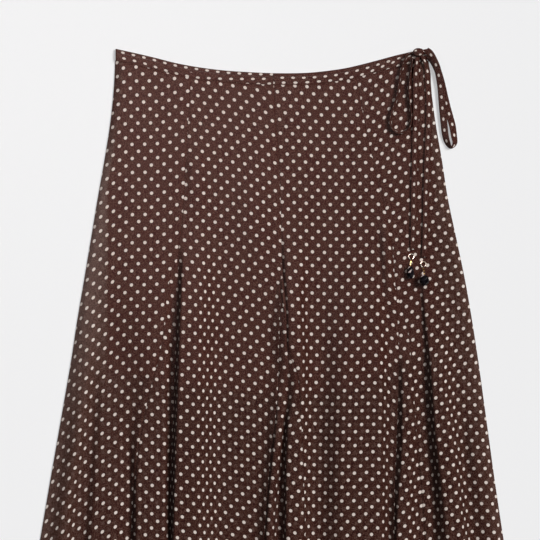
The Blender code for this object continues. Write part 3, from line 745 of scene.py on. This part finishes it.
def tube(name, rings, node_name, places=None, closed=False, smooth=True):
    """A tube through rings of points, with its ends capped, or closed to a ring. places are on the
    flat cloth, one more than a ring has points. The caps keep those that Blender gives them."""
    rings = np.asarray(rings)
    rows, count = rings.shape[:2]
    r, k = np.indices((rows if closed else rows - 1, count)).reshape(2, -1)
    ring, turn = np.stack([r, r, r + 1, r + 1], 1), np.stack([k, k + 1, k + 1, k], 1)
    faces = (ring % rows * count + turn % count).tolist()
    if not closed:
        faces += [list(range(count - 1, -1, -1)), list(range((rows - 1) * count, rows * count))]
    piece = new_piece(name, rings.reshape(-1, 3), faces)
    if places is not None:
        layer = piece.data.uv_layers.new(name="cloth").uv
        uv = np.empty(2 * len(layer))
        layer.foreach_get("vector", uv)
        uv[:2 * ring.size] = (places[ring, turn] * MM).ravel()
        layer.foreach_set("vector", uv)
    if not smooth:
        piece.data.shade_flat()
    return stand_for(piece, node_name)


def step_lengths(path):
    return np.linalg.norm(np.diff(path, axis=0), axis=1)


def tie_places(path, section, start):
    """Across the tube from its middle line, and along it from the first spot."""
    round_it = running(step_lengths(np.concatenate([section, section[:1]])))
    return together(round_it - round_it[-1] / 4, running(step_lengths(path))[:, None] - start)


print("points round a tie's section:", len(flattened_section(7.5, 2.2)))

# %% The two loops
LOOP_WIDE, LOOP_THICK = {"left": 6.2, "right": 8.4}, 1.8
# rows are (x, drop, height, lean in degrees from standing on edge towards lying outwards); the left
# loop's height is over the front's cloth, and the right loop's over the table
LEFT_LOOP = (
    (168.2, 5.6, 4.7, 14), (162.6, 8.6, 4.7, 14), (159, 15.6, 4.7, 14), (156, 25, 4.3, 15),
    (153.6, 37, 3.9, 15), (150, 59, 3.9, 16), (145.4, 73, 3.9, 17), (142.4, 85, 3.9, 18),
    (143.8, 94.5, 3.9, 18), (149.4, 100.4, 3.9, 18), (156.6, 100.6, 3.9, 18), (163.4, 96, 3.9, 17),
    (166.6, 86.4, 3.9, 15), (166.4, 75.6, 3.9, 13), (164.6, 63.6, 3.9, 12), (163.6, 50.4, 3.9, 12),
    (164.8, 36, 3.9, 12), (166.8, 23, 4.4, 12), (168.2, 12, 4.8, 12),
)
RIGHT_LOOP = (
    (184.8, 3, 11.5, 70), (189.6, 6.4, 11, 66), (195, 15.6, 9.4, 62), (198.6, 24.6, 7.6, 66),
    (201.2, 36.8, 6.2, 70), (202.8, 47, 5.5, 75), (203.8, 58.8, 5, 78), (205.2, 75.6, 4.8, 76),
    (206.8, 92, 4.6, 72), (208.3, 104.2, 4.6, 64), (211, 113, 4.6, 44), (215.2, 118.4, 4.8, 15),
    (219.5, 113, 4.4, 44), (218.6, 104, 3.2, 64), (216.8, 92, 2.4, 76), (213.4, 80, 1.9, 86),
    (210, 67.4, 1.7, 94), (206.8, 54, 1.8, 98), (203.4, 39.6, 2.4, 102),
    (199.2, 26.4, 4.2, 106), (194.4, 16.8, 6.1, 110), (189, 10, 7.2, 108), (184.8, 6.6, 7.4, 106),
)


def front_top(x, drop):
    return broad_height(x, drop) + WALL_OUT


def loop(side, rows, base, start):
    places = range(len(rows))
    columns = [list(zip(places, column)) for column in zip(*rows)]
    along = np.linspace(0, len(rows) - 1, 6 * len(rows) - 5)
    x, drop, height, lean = (smooth_through(column, along) for column in columns)
    path = together(x, level(drop), height + base(x, drop))
    section = flattened_section(LOOP_WIDE[side], LOOP_THICK)
    rings = []
    for point, way, angle in zip(path, np.gradient(path, axis=0), np.radians(lean)):
        way = way / np.linalg.norm(way)
        outward = np.array([-way[1], way[0], 0.0]) * (1 if side == "right" else -1)
        outward /= np.linalg.norm(outward)
        wide = math.cos(angle) * np.array([0, 0, 1.0]) + math.sin(angle) * outward
        wide -= way * wide.dot(way)
        wide /= np.linalg.norm(wide)
        rings.append(point + section @ np.array([wide, np.cross(way, wide)]))
    return tube(f"loop_{side}", rings, f"bow_loop_{side}",
                tie_places(path, section, start)), path


loops = {
    "left": loop("left", LEFT_LOOP, front_top, 4.0),
    "right": loop("right", RIGHT_LOOP, lambda x, drop: 0.0, 8.0),
}
for side, (piece, path) in loops.items():
    print(side, "loop, mm long:", round(float(step_lengths(path).sum())))

# %% The two tails
TAIL_WIDE, TAIL_THICK = 7.5, 2.2
TAIL_LIFT, TAIL_GATHER, TAIL_SETTLES, TAIL_CLEAR = 3.0, 0.3, 26.0, 0.5
TAILS = {  # drop, x
    "left": ((10.8, 174.6), (20, 173.4), (43, 172.9), (76, 172.6), (122, 171.7), (169, 170.5),
             (218, 169.8), (241, 169.2)),
    "right": ((9.8, 180.8), (20, 185.2), (43, 187.4), (61, 188.6), (85, 188.3), (122, 186.8),
              (181, 184.9), (235, 183.8), (250, 183.2)),
}


def tail(side, start):
    section = flattened_section(TAIL_WIDE, TAIL_THICK)
    drops = np.linspace(TAILS[side][0][0], TAILS[side][-1][0], 150)
    centre = smooth_through(TAILS[side], drops)
    gather = 1 - ease((drops - drops[0]) / TAIL_SETTLES)
    lift = TAIL_CLEAR + TAIL_THICK / 2 + TAIL_LIFT * gather
    x = centre[:, None] + section[:, 0] * (1 - TAIL_GATHER * gather)[:, None]
    z = front_top(x, drops[:, None]) + lift[:, None] + section[:, 1]
    rings = together(x, level(drops)[:, None], z)
    path = rings.mean(axis=1)
    return tube(f"tail_{side}", rings, f"tie_tail_{side}",
                tie_places(path, section, start)), path


tails = {"left": tail("left", 20.0), "right": tail("right", 19.0)}
for side, (piece, path) in tails.items():
    print(side, "tail, mm long:", round(float(step_lengths(path).sum())))

# %% [markdown]
# The knot is cloth pulled tight round itself: an egg with deep pleats that fan out of its middle.

# %% The knot
KNOT_AT, KNOT_HALF, KNOT_FLAT = (175.8, 5.0), (7.0, 5.2, 3.6), (33, 22)
PLEATS, PLEAT_DEEP, KNOT_END, KNOT_RINGS, KNOT_TURNS = 9, 0.13, 0.14, 36, 64
slants = np.linspace(KNOT_END, math.pi - KNOT_END, KNOT_RINGS)[:, None]
turns = math.tau * np.arange(KNOT_TURNS)[None, :] / KNOT_TURNS
fan = np.cos(PLEATS * turns + 3 * np.cos(slants) + 1.1 * np.sin(2 * turns))
pleats = 1 - PLEAT_DEEP * (1 + fan) / 2
base = LINED_MID + BAND_THICK / 2 + GAP
knot_rings = together(
    KNOT_AT[0] - KNOT_HALF[0] * np.cos(slants),
    level(KNOT_AT[1]) + KNOT_HALF[1] * np.sin(slants) * np.cos(turns) * pleats,
    base + KNOT_HALF[2] * (1 + np.sin(slants) * np.sin(turns) * pleats))
places = together(np.linspace(0, KNOT_FLAT[0], KNOT_TURNS + 1),
                  np.linspace(0, KNOT_FLAT[1], KNOT_RINGS)[:, None])
knot = tube("knot", knot_rings, "bow_knot", places)
print("knot, mm:", [2 * half for half in KNOT_HALF])

# %% [markdown]
# ## The charms
# At each tail's end a small pale ring, a gold link and a black cut bead lie in a row. They are hard
# pieces, so each is a closed mesh: a torus, a little turned link, and a bead with flat facets. All
# three are tubes through rings, so the ties' function makes them too.

# %% Rings, links and beads
RING_RADIUS, RING_WIRE, LINK_RADIUS, LINK_CLEAR = 3.2, 0.5, 1.0, 1.0
RING_OVER, BEAD_OVER, FACETS, FACET_SLANT = 0.4, 0.3, 8, 31   # FACET_SLANT is in degrees
RING_TURNS, WIRE_TURNS, LINK_TURNS = 40, 12, 16
LINK_SHAPE = ((0, 0.45), (0.06, 0.75), (0.25, 1.0), (0.44, 0.75), (0.5, 0.55), (0.56, 0.75),
              (0.75, 1.0), (0.94, 0.75), (1, 0.45))   # share of its length, share of its radius
CHARMS = {
    "left": {"ring": (167.3, 249.2), "bead": (166.0, 268.2), "bead_half": (4.6, 7.2)},
    "right": {"ring": (181.8, 258.4), "bead": (182.3, 277.6), "bead_half": (6.0, 6.2)},
}


def highest_top(x, drop, reach):
    """The highest place of the front's cloth within reach of a point."""
    near = np.linspace(-reach, reach, 5)
    return float(front_top(*np.meshgrid(x + near, drop + near)).max())


def charm(side):
    sizes = CHARMS[side]
    half_wide, half_long = sizes["bead_half"]
    (ring_x, ring_drop), (bead_x, bead_drop) = sizes["ring"], sizes["bead"]
    ring_z = highest_top(ring_x, ring_drop, RING_RADIUS) + GAP + RING_WIRE + RING_OVER
    bead_z = highest_top(bead_x, bead_drop, half_wide / 2) + GAP + half_wide + BEAD_OVER

    around = math.tau * np.arange(RING_TURNS)[:, None] / RING_TURNS
    wire = -math.tau * np.arange(WIRE_TURNS)[None, :] / WIRE_TURNS
    reach = RING_RADIUS + RING_WIRE * np.cos(wire)
    ring = tube(f"ring_{side}", together(
        ring_x + reach * np.cos(around), level(ring_drop) + reach * np.sin(around),
        ring_z + RING_WIRE * np.sin(wire)), f"tie_ring_{side}", closed=True)

    start = np.array([ring_x, level(ring_drop + RING_RADIUS + RING_WIRE + LINK_CLEAR / 2), ring_z])
    end = np.array([bead_x, level(bead_drop - half_long - LINK_CLEAR), bead_z])
    way = (end - start) / np.linalg.norm(end - start)
    beside = np.cross(way, (0, 0, 1))
    beside /= np.linalg.norm(beside)
    turns = math.tau * np.arange(LINK_TURNS)[:, None] / LINK_TURNS
    circle = np.cos(turns) * np.cross(beside, way) + np.sin(turns) * beside
    link = tube(f"link_{side}", [
        start + (end - start) * share + LINK_RADIUS * swell * circle for share, swell in LINK_SHAPE
    ], f"tie_link_{side}")

    steps = np.arange(5)[:, None]
    slants = np.radians(FACET_SLANT * (steps - 2))
    turns = math.tau * (np.arange(FACETS)[None, :] + steps / 2) / FACETS
    bead = tube(f"bead_{side}", together(
        bead_x + half_wide * np.cos(slants) * np.cos(turns),
        level(bead_drop) + half_long * np.sin(slants) / np.sin(slants[-1]),
        bead_z - half_wide * np.cos(slants) * np.sin(turns)),
        f"tie_bead_{side}", smooth=False)
    return {"ring": ring, "link": link, "bead": bead}


charms = {side: charm(side) for side in CHARMS}
print("charms:", [piece.name for group in charms.values() for piece in group.values()])

# %% [markdown]
# ## Node trees
# Stitches and materials are both made by node trees. A few helpers add a node and feed its sockets,
# so that each tree below reads as a short list.

# %% Add nodes and feed them
FLOAT, VECTOR, GEOMETRY = "NodeSocketFloat", "NodeSocketVector", "NodeSocketGeometry"


def node(tree, kind, inputs=(), **settings):
    """Adds a node. inputs are (socket, value or output) pairs."""
    made = tree.nodes.new(kind)
    for name, value in settings.items():
        setattr(made, name, value)
    for socket, value in inputs:
        if isinstance(value, bpy.types.NodeSocket):
            tree.links.new(value, made.inputs[socket])
        else:
            made.inputs[socket].default_value = value
    return made


def new_group(name, kind, inputs, outputs):
    """A node group with named sockets, and what it is given. Its output node is added last."""
    tree = bpy.data.node_groups.new(name, kind)
    for label, socket_kind, value in inputs:
        socket = tree.interface.new_socket(label, in_out="INPUT", socket_type=socket_kind)
        if value is not None:
            socket.default_value = value
    for label, socket_kind in outputs:
        tree.interface.new_socket(label, in_out="OUTPUT", socket_type=socket_kind)
    return tree, tree.nodes.new("NodeGroupInput").outputs


def maths(tree, operation, *values):
    return node(tree, "ShaderNodeMath", list(enumerate(values)), operation=operation).outputs[0]


def vector_maths(tree, operation, *values):
    made = node(tree, "ShaderNodeVectorMath", list(enumerate(values)), operation=operation)
    return made.outputs["Value" if operation == "LENGTH" else "Vector"]


def scaled(tree, vector, by):
    return node(tree, "ShaderNodeVectorMath", [(0, vector), ("Scale", by)],
                operation="SCALE").outputs["Vector"]


def ranged(tree, value, low, high, start=0.0, end=1.0, kind="LINEAR"):
    """Turns the range from start to end into the one from low to high."""
    return node(tree, "ShaderNodeMapRange", [
        ("Value", value), ("From Min", start), ("From Max", end),
        ("To Min", low), ("To Max", high)], interpolation_type=kind).outputs["Result"]


print("sockets used:", FLOAT, VECTOR, GEOMETRY)

# %% [markdown]
# ## Stitches
# Rows of machine stitches hold the band and the hem. A stitch is a short rounded bar, and there are
# hundreds, so Geometry Nodes place them: a line that lies on the cloth is cut into even steps, and
# a bar is turned along it at each step. The result is turned into a plain mesh.

# %% A tree that lays stitches along a line
STITCH = {"Spacing": 3.0, "Length": 2.3, "Thread": 0.25}   # mm, and Thread is a radius


def stitch_tree():
    tree, given = new_group(
        "stitches", "GeometryNodeTree",
        [("Line", GEOMETRY, None)] + [(name, FLOAT, size * MM) for name, size in STITCH.items()]
        + [("Material", "NodeSocketMaterial", None)],
        [("Stitches", GEOMETRY)],
    )
    curve = node(tree, "GeometryNodeMeshToCurve", [("Mesh", given["Line"])])
    even = node(tree, "GeometryNodeResampleCurve", [
        ("Curve", curve.outputs["Curve"]), ("Length", given["Spacing"])], mode="LENGTH")
    bar = node(tree, "GeometryNodeMeshUVSphere", [("Segments", 6), ("Rings", 4), ("Radius", 1.0)])
    size = node(tree, "ShaderNodeCombineXYZ", [
        ("X", given["Thread"]), ("Y", given["Thread"]),
        ("Z", maths(tree, "MULTIPLY", given["Length"], 0.5))])
    tangent = node(tree, "GeometryNodeInputTangent")
    turned = node(tree, "FunctionNodeAlignRotationToVector", [
        ("Vector", tangent.outputs["Tangent"])], axis="Z")
    placed = node(tree, "GeometryNodeInstanceOnPoints", [
        ("Points", even.outputs["Curve"]), ("Instance", bar.outputs["Mesh"]),
        ("Rotation", turned.outputs["Rotation"]), ("Scale", size.outputs["Vector"])])
    real = node(tree, "GeometryNodeRealizeInstances", [("Geometry", placed.outputs["Instances"])])
    painted = node(tree, "GeometryNodeSetMaterial", [
        ("Geometry", real.outputs["Geometry"]), ("Material", given["Material"])])
    node(tree, "NodeGroupOutput", [("Stitches", painted.outputs["Geometry"])])
    return tree


stitches = stitch_tree()
print("inputs:", [item.name for item in stitches.interface.items_tree if item.in_out == "INPUT"])

# %% [markdown]
# ## Materials
# ### Spots
# The spots lie on a centred grid: one at each corner of a cell, and one in its middle. The group
# finds the distance to the nearest spot's centre, and puts out a mask that is 1 inside a spot.

# %% A group for the spots
SPOT_PITCH, SPOT_RADIUS, SPOT_SOFT = (14.4, 16.9), 2.0, 0.25


def spots_group():
    tree, given = new_group(
        "spots", "ShaderNodeTree",
        [("Place", VECTOR, None), ("Across", FLOAT, SPOT_PITCH[0] * MM),
         ("Down", FLOAT, SPOT_PITCH[1] * MM), ("Radius", FLOAT, SPOT_RADIUS * MM),
         ("Softness", FLOAT, SPOT_SOFT * MM)],
        [("Mask", FLOAT)],
    )
    cell = node(tree, "ShaderNodeCombineXYZ", [
        ("X", given["Across"]), ("Y", given["Down"]), ("Z", 1.0)]).outputs[0]
    share = vector_maths(tree, "DIVIDE", given["Place"], cell)
    away = []
    for shift in (0.5, 0.0):
        moved = vector_maths(tree, "ADD", share, (shift, shift, 0))
        part = vector_maths(tree, "FRACTION", moved)
        middle = vector_maths(tree, "SUBTRACT", part, (0.5, 0.5, 0))
        level_part = vector_maths(tree, "MULTIPLY", middle, (1, 1, 0))
        away.append(vector_maths(tree, "LENGTH", vector_maths(tree, "MULTIPLY", level_part, cell)))
    inner = maths(tree, "SUBTRACT", given["Radius"], given["Softness"])
    outer = maths(tree, "ADD", given["Radius"], given["Softness"])
    mask = ranged(tree, maths(tree, "MINIMUM", *away), 1.0, 0.0, inner, outer, "SMOOTHSTEP")
    node(tree, "NodeGroupOutput", [("Mask", mask)])
    return tree


spots = spots_group()
print("spots group nodes:", len(spots.nodes))

# %% [markdown]
# ### Crepe
# Crepe is woven from tightly twisted thread, so its face is grainy and slightly uneven in tone. The
# group puts out that height and tone from fine noise. The metals use it too, for their fine wear.

# %% A group for the crepe's grain
CLOUDS, FINE_WEIGHT, TONES = 38.0, 24.0, (0.12, 2.4, 10.3, 16.0)


def crepe_group():
    tree, given = new_group(
        "crepe", "ShaderNodeTree", [("Place", VECTOR, None), ("Grain", FLOAT, 1200.0)],
        [("Height", FLOAT), ("Tone", FLOAT)],
    )
    stretched = vector_maths(tree, "MULTIPLY", given["Place"], (1.0, 0.6, 1.0))
    fine = node(tree, "ShaderNodeTexNoise", [
        ("Vector", stretched), ("Scale", given["Grain"]), ("Detail", 1.0),
        ("Roughness", 0.5)]).outputs["Fac"]
    cloudy = node(tree, "ShaderNodeTexNoise", [
        ("Vector", given["Place"]), ("Scale", CLOUDS), ("Detail", 3.0)]).outputs["Fac"]
    tone = ranged(tree, maths(tree, "MULTIPLY_ADD", fine, FINE_WEIGHT, cloudy), *TONES)
    node(tree, "NodeGroupOutput", [("Height", fine), ("Tone", tone)])
    return tree


crepe = crepe_group()
print("crepe group nodes:", len(crepe.nodes))

# %% [markdown]
# ### Spotted cloth
# The cloth is thin, so what lies behind changes its colour. Where no lining lies behind, below its
# hem and at the sides, the cloth is painted a little darker, as shade, and the back's spots show
# faintly. Near the side seams the pale table shows through the sheer cloth, with painted light that
# makes it stronger on the left. All of this is put into the colour, from the two attributes that each
# panel carries. The grain adds or takes a little pale thread. Sheen gives the soft light that lies on
# fine thread.

# %% Build the cloth materials
DARK, PALE_SPOT = (0.046, 0.0138, 0.0082, 1), (0.62, 0.54, 0.487, 1)
SPECK, DARKEST = (0.029, 0.0195, 0.017), (0.002, 0.001, 0.001)
# painted shade: the cloth with no lining behind it is painted darker than over the lining
UNLINED_SHADE, BACK_SPOT = (0.039, 0.0115, 0.006, 1), (0.062, 0.03, 0.023, 1)
# partly the pale table seen through the sheer cloth, partly painted light
PAINTED_TABLE_LIGHT, PAINTED_TABLE_LIGHT_SHARE = (0.25, 0.175, 0.155, 1), 0.22
GHOST_RADIUS, GHOST_SOFT = 2.2, 1.2
CLOTH_SHADER = {
    "Specular IOR Level": 0.06, "Sheen Weight": 0.01, "Sheen Roughness": 0.45,
    "Sheen Tint": (1.0, 0.9, 0.85, 1),
}


def placed_group(tree, group, **inputs):
    """One of the groups above, placed in a material."""
    return node(tree, "ShaderNodeGroup", inputs.items(), node_tree=group).outputs


def mixed(tree, share, first, second):
    return node(tree, "ShaderNodeMix", [(0, share), (6, first), (7, second)],
                data_type="RGBA").outputs[2]


def new_material(name):
    material = bpy.data.materials.new(name)
    material.use_nodes = True
    return material, material.node_tree, material.node_tree.nodes["Principled BSDF"]


def finish(tree, shader, colour, rough, height, strength, deep, fixed):
    """Feeds a shader. strength and deep, in mm, are those of the relief that height makes."""
    relief = node(tree, "ShaderNodeBump", [
        ("Strength", strength), ("Distance", deep * MM), ("Height", height)]).outputs["Normal"]
    for socket, value in (("Base Color", colour), ("Roughness", rough), ("Normal", relief)):
        tree.links.new(value, shader.inputs[socket])
    for socket, value in fixed.items():
        shader.inputs[socket].default_value = value


def spotted(name, pitch=SPOT_PITCH, radius=SPOT_RADIUS, squeeze=1.0, behind=False):
    material, tree, shader = new_material(name)
    here = node(tree, "ShaderNodeTexCoord").outputs["Object"]
    place = node(tree, "ShaderNodeUVMap", uv_map="cloth").outputs["UV"]
    place = vector_maths(tree, "MULTIPLY", place, (squeeze, 1.0, 1.0))
    mask = placed_group(tree, spots, Place=place, Across=pitch[0] * MM, Down=pitch[1] * MM,
                        Radius=radius * MM)["Mask"]
    grain = placed_group(tree, crepe, Place=here)
    cloth = DARK[:3]
    if behind:
        lined, table_light = (node(tree, "ShaderNodeAttribute", attribute_name=label).outputs["Fac"]
                        for label in ("lined", "table_light"))
        ghost = placed_group(tree, spots, Place=here, Radius=GHOST_RADIUS * MM,
                             Softness=GHOST_SOFT * MM)["Mask"]
        # painted shade: where no lining lies behind, the cloth is painted darker
        unlined_shaded_cloth = mixed(tree, ghost, UNLINED_SHADE, BACK_SPOT)
        # partly the pale table seen through the sheer cloth and partly painted light, stronger on the
        # left and fading towards the hem
        table_light_mix = maths(tree, "MULTIPLY", table_light, PAINTED_TABLE_LIGHT_SHARE)
        cloth = mixed(tree, lined, mixed(tree, table_light_mix, unlined_shaded_cloth, PAINTED_TABLE_LIGHT), DARK)
    specks = scaled(tree, SPECK, maths(tree, "SUBTRACT", grain["Tone"], 1.0))
    toned = vector_maths(tree, "MAXIMUM", vector_maths(tree, "ADD", cloth, specks), DARKEST)
    finish(tree, shader, mixed(tree, mask, toned, PALE_SPOT), ranged(tree, mask, 0.78, 0.7),
           grain["Height"], 0.35, 0.25, CLOTH_SHADER)
    return material


for name, piece in front.items():
    piece.data.materials.append(spotted(f"spotted crepe {name}", GRAIN[name]["pitch"], behind=True))
back.data.materials.append(spotted("spotted crepe back"))
band_cloth = spotted("spotted crepe band", (BAND_PITCH, 2 * ROW_APART), radius=2.2)
for piece in bands.values():
    piece.data.materials.append(band_cloth)
tie_cloth = spotted("spotted crepe ties", (16.9, 13.2), squeeze=1.45)
for piece in (loops["left"][0], loops["right"][0], tails["left"][0], tails["right"][0], knot):
    piece.data.materials.append(tie_cloth)
print("cloth materials:", [m.name for m in bpy.data.materials if m.name.startswith("spotted")])

# %% [markdown]
# ### Lining, thread, metal and bead
# The lining is plain and smooth, the thread is a shade lighter than the cloth, the ring and link
# are polished metal with fine wear in their roughness, and the bead is black glass-like plastic.

# %% Build the small materials
def grained(name, colour, roughness, metallic=0.0, grain=400.0, spread=0.12, bump=0.1, gloss=0.5):
    material, tree, shader = new_material(name)
    here = node(tree, "ShaderNodeTexCoord").outputs["Object"]
    effect = placed_group(tree, crepe, Place=here, Grain=grain)
    rough = ranged(tree, effect["Height"], roughness - spread / 2, roughness + spread / 2)
    finish(tree, shader, scaled(tree, colour, effect["Tone"]), rough, effect["Height"], bump, 0.1,
           {"Metallic": metallic, "Specular IOR Level": gloss})
    return material


lining_cloth = grained("lining", (0.030, 0.0135, 0.010), 0.5, grain=700.0)
thread = grained("thread", (0.05, 0.022, 0.017), 0.7, grain=1500.0)
pale_metal = grained("pale metal", (0.5, 0.45, 0.39), 0.3, metallic=1.0, grain=300.0)
gold_metal = grained("gold metal", (0.58, 0.39, 0.16), 0.4, metallic=1.0, grain=300.0)
black_bead = grained("black bead", (0.004, 0.003, 0.004), 0.1, grain=200.0, spread=0.04, bump=0.02,
                     gloss=0.28)
for piece in linings.values():
    piece.data.materials.append(lining_cloth)
for group in charms.values():
    group["ring"].data.materials.append(pale_metal)
    group["link"].data.materials.append(gold_metal)
    group["bead"].data.materials.append(black_bead)
print("small materials:", lining_cloth.name, thread.name, pale_metal.name, gold_metal.name)

# %% [markdown]
# ## Sew the stitch rows
# The thread's material is ready, so the rows can be laid: one along the band's trough, and one
# along the front's hem, which is turned under.

# %% Lay the rows
HEM_TURN, HEM_STITCH_LIFT, BAND_STITCH_LIFT, STITCH_STEP = 14.0, 0.65, 0.45, 1.5
HEM_STITCHED, BAND_STITCHED = (-305, 306), (-184, 184.5)   # from x to x


def stitch_row(name, line, **sizes):
    """One mesh of stitches along a line of points in millimetres."""
    mesh = bpy.data.meshes.new(name + " line")
    mesh.from_pydata(line * MM, [(i, i + 1) for i in range(len(line) - 1)], [])
    guide = add_object(name + " line", mesh)
    modifier = guide.modifiers.new("stitches", "NODES")
    modifier.node_group = stitches
    values = {label: size * MM for label, size in (STITCH | sizes).items()} | {"Material": thread}
    for item in stitches.interface.items_tree:
        if item.in_out == "INPUT" and item.name in values:
            modifier[item.identifier] = values[item.name]
    seen = guide.evaluated_get(bpy.context.evaluated_depsgraph_get())
    plain = bpy.data.meshes.new_from_object(seen)
    bpy.data.objects.remove(guide)
    plain.name = name
    plain.shade_smooth()
    piece = add_object(name, plain)
    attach(piece, "root")
    return piece


across = np.arange(*HEM_STITCHED, STITCH_STEP)
drop = hem_drop(across) - HEM_TURN
hem_stitches = stitch_row(
    "hem_stitches", together(across, level(drop), front_height(across, drop) + HEM_STITCH_LIFT))
across = np.arange(*BAND_STITCHED, STITCH_STEP)
band_stitches = stitch_row("band_stitches", together(
    across, level(waist_drop(across) + BAND_TROUGH * BAND_TALL),
    front_band_middle(across) + BAND_STITCH_LIFT), Spacing=2.8, Length=2.1)
print("stitch faces:", len(hem_stitches.data.polygons), len(band_stitches.data.polygons))

# %% [markdown]
# The UV map of each front panel is read back into an array.


for name, piece in front.items():
    uv = np.empty(len(piece.data.loops) * 2)
    piece.data.uv_layers["cloth"].uv.foreach_get("vector", uv)

# %% [markdown]
# ## Floor, light and camera
# The skirt lies on a plain pale table, seen from straight above. A wide soft light comes from the
# right and a little from the waist's side, so the left sides of the folds are dark. A weak panel
# fills the shade. A small warm one hangs low over the waist's left and lights gloss alone, which
# lays a haze on the upper part. The table glows a little itself, so that shadows on it stay faint.

# %% Stage and lights
TABLE_HALF, TABLE_UNDER, TABLE_COLOUR = 4.0, 0.1 * MM, (0.5, 0.5, 0.502, 1)
TABLE_GLOW, TABLE_GLOW_COLOUR = 0.375, (1, 1, 1.01, 1)
HAZE_COLOUR, WORLD_COLOUR, WORLD_STRENGTH = (1.0, 0.82, 0.78), (0.95, 0.97, 1.0, 1), 0.05


def plain_stage():
    mesh = bpy.data.meshes.new("table")
    corners = [(x * TABLE_HALF, y * TABLE_HALF, 0) for x, y in ((-1, -1), (1, -1), (1, 1), (-1, 1))]
    mesh.from_pydata(corners, [], [(0, 1, 2, 3)])
    table = add_object("table", mesh)
    table.location.z = -TABLE_UNDER
    material, tree, shader = new_material("pale table")
    for socket, value in (
            ("Base Color", TABLE_COLOUR), ("Emission Color", TABLE_GLOW_COLOUR),
            ("Emission Strength", TABLE_GLOW), ("Roughness", 0.9), ("Specular IOR Level", 0.1)):
        shader.inputs[socket].default_value = value
    mesh.materials.append(material)
    return table


def light(name, kind, energy, direction, size, place=None):
    """A light that shines from a direction, given as degrees round and up. size is in degrees for a
    sun and in metres for a panel."""
    data = bpy.data.lights.new(name, kind)
    data.energy = energy
    lamp = add_object(name, data)
    azimuth, elevation = (math.radians(a) for a in direction)
    way = (math.cos(azimuth) * math.cos(elevation), math.sin(azimuth) * math.cos(elevation),
           math.sin(elevation))
    lamp.rotation_mode = "QUATERNION"
    lamp.rotation_quaternion = Vector(way).to_track_quat("Z", "Y")
    if kind == "SUN":
        data.angle = math.radians(size)
    else:
        data.size = size
        lamp.location = place
        lamp.visible_camera = False
    return lamp


table = plain_stage()
key = light("key", "SUN", 3.2, (22, 53), 22)
fill = light("fill", "AREA", 5.5, (110, 75), 1.0, (-0.4, 0.9, 2.0))
haze = light("haze", "AREA", 22.5, (110, 90), 0.56, (-0.24, 0.49, 0.42))
haze.data.color = HAZE_COLOUR
haze.visible_diffuse = False
world = bpy.data.worlds.new("studio")
world.use_nodes = True
background = world.node_tree.nodes["Background"].inputs
background["Color"].default_value = WORLD_COLOUR
background["Strength"].default_value = WORLD_STRENGTH
bpy.context.scene.world = world
bpy.context.scene.view_settings.view_transform = "Standard"
print("lights:", key.name, fill.name, haze.name, "on", table.name)

# %% Camera
CAMERA_HIGH, SEEN, SENSOR = 2.5, 0.648, 36   # metres, metres across the picture, mm
PICTURE_MIDDLE = (-1.8, 265.2)   # x, drop
camera_data = bpy.data.cameras.new("camera")
camera_data.sensor_width = SENSOR
camera_data.lens = SENSOR * CAMERA_HIGH / SEEN
camera_data.clip_end = 20
camera = add_object("camera", camera_data)
camera.location = (PICTURE_MIDDLE[0] * MM, level(PICTURE_MIDDLE[1]) * MM, CAMERA_HIGH)
bpy.context.scene.camera = camera
print("lens, mm:", round(camera_data.lens, 1))
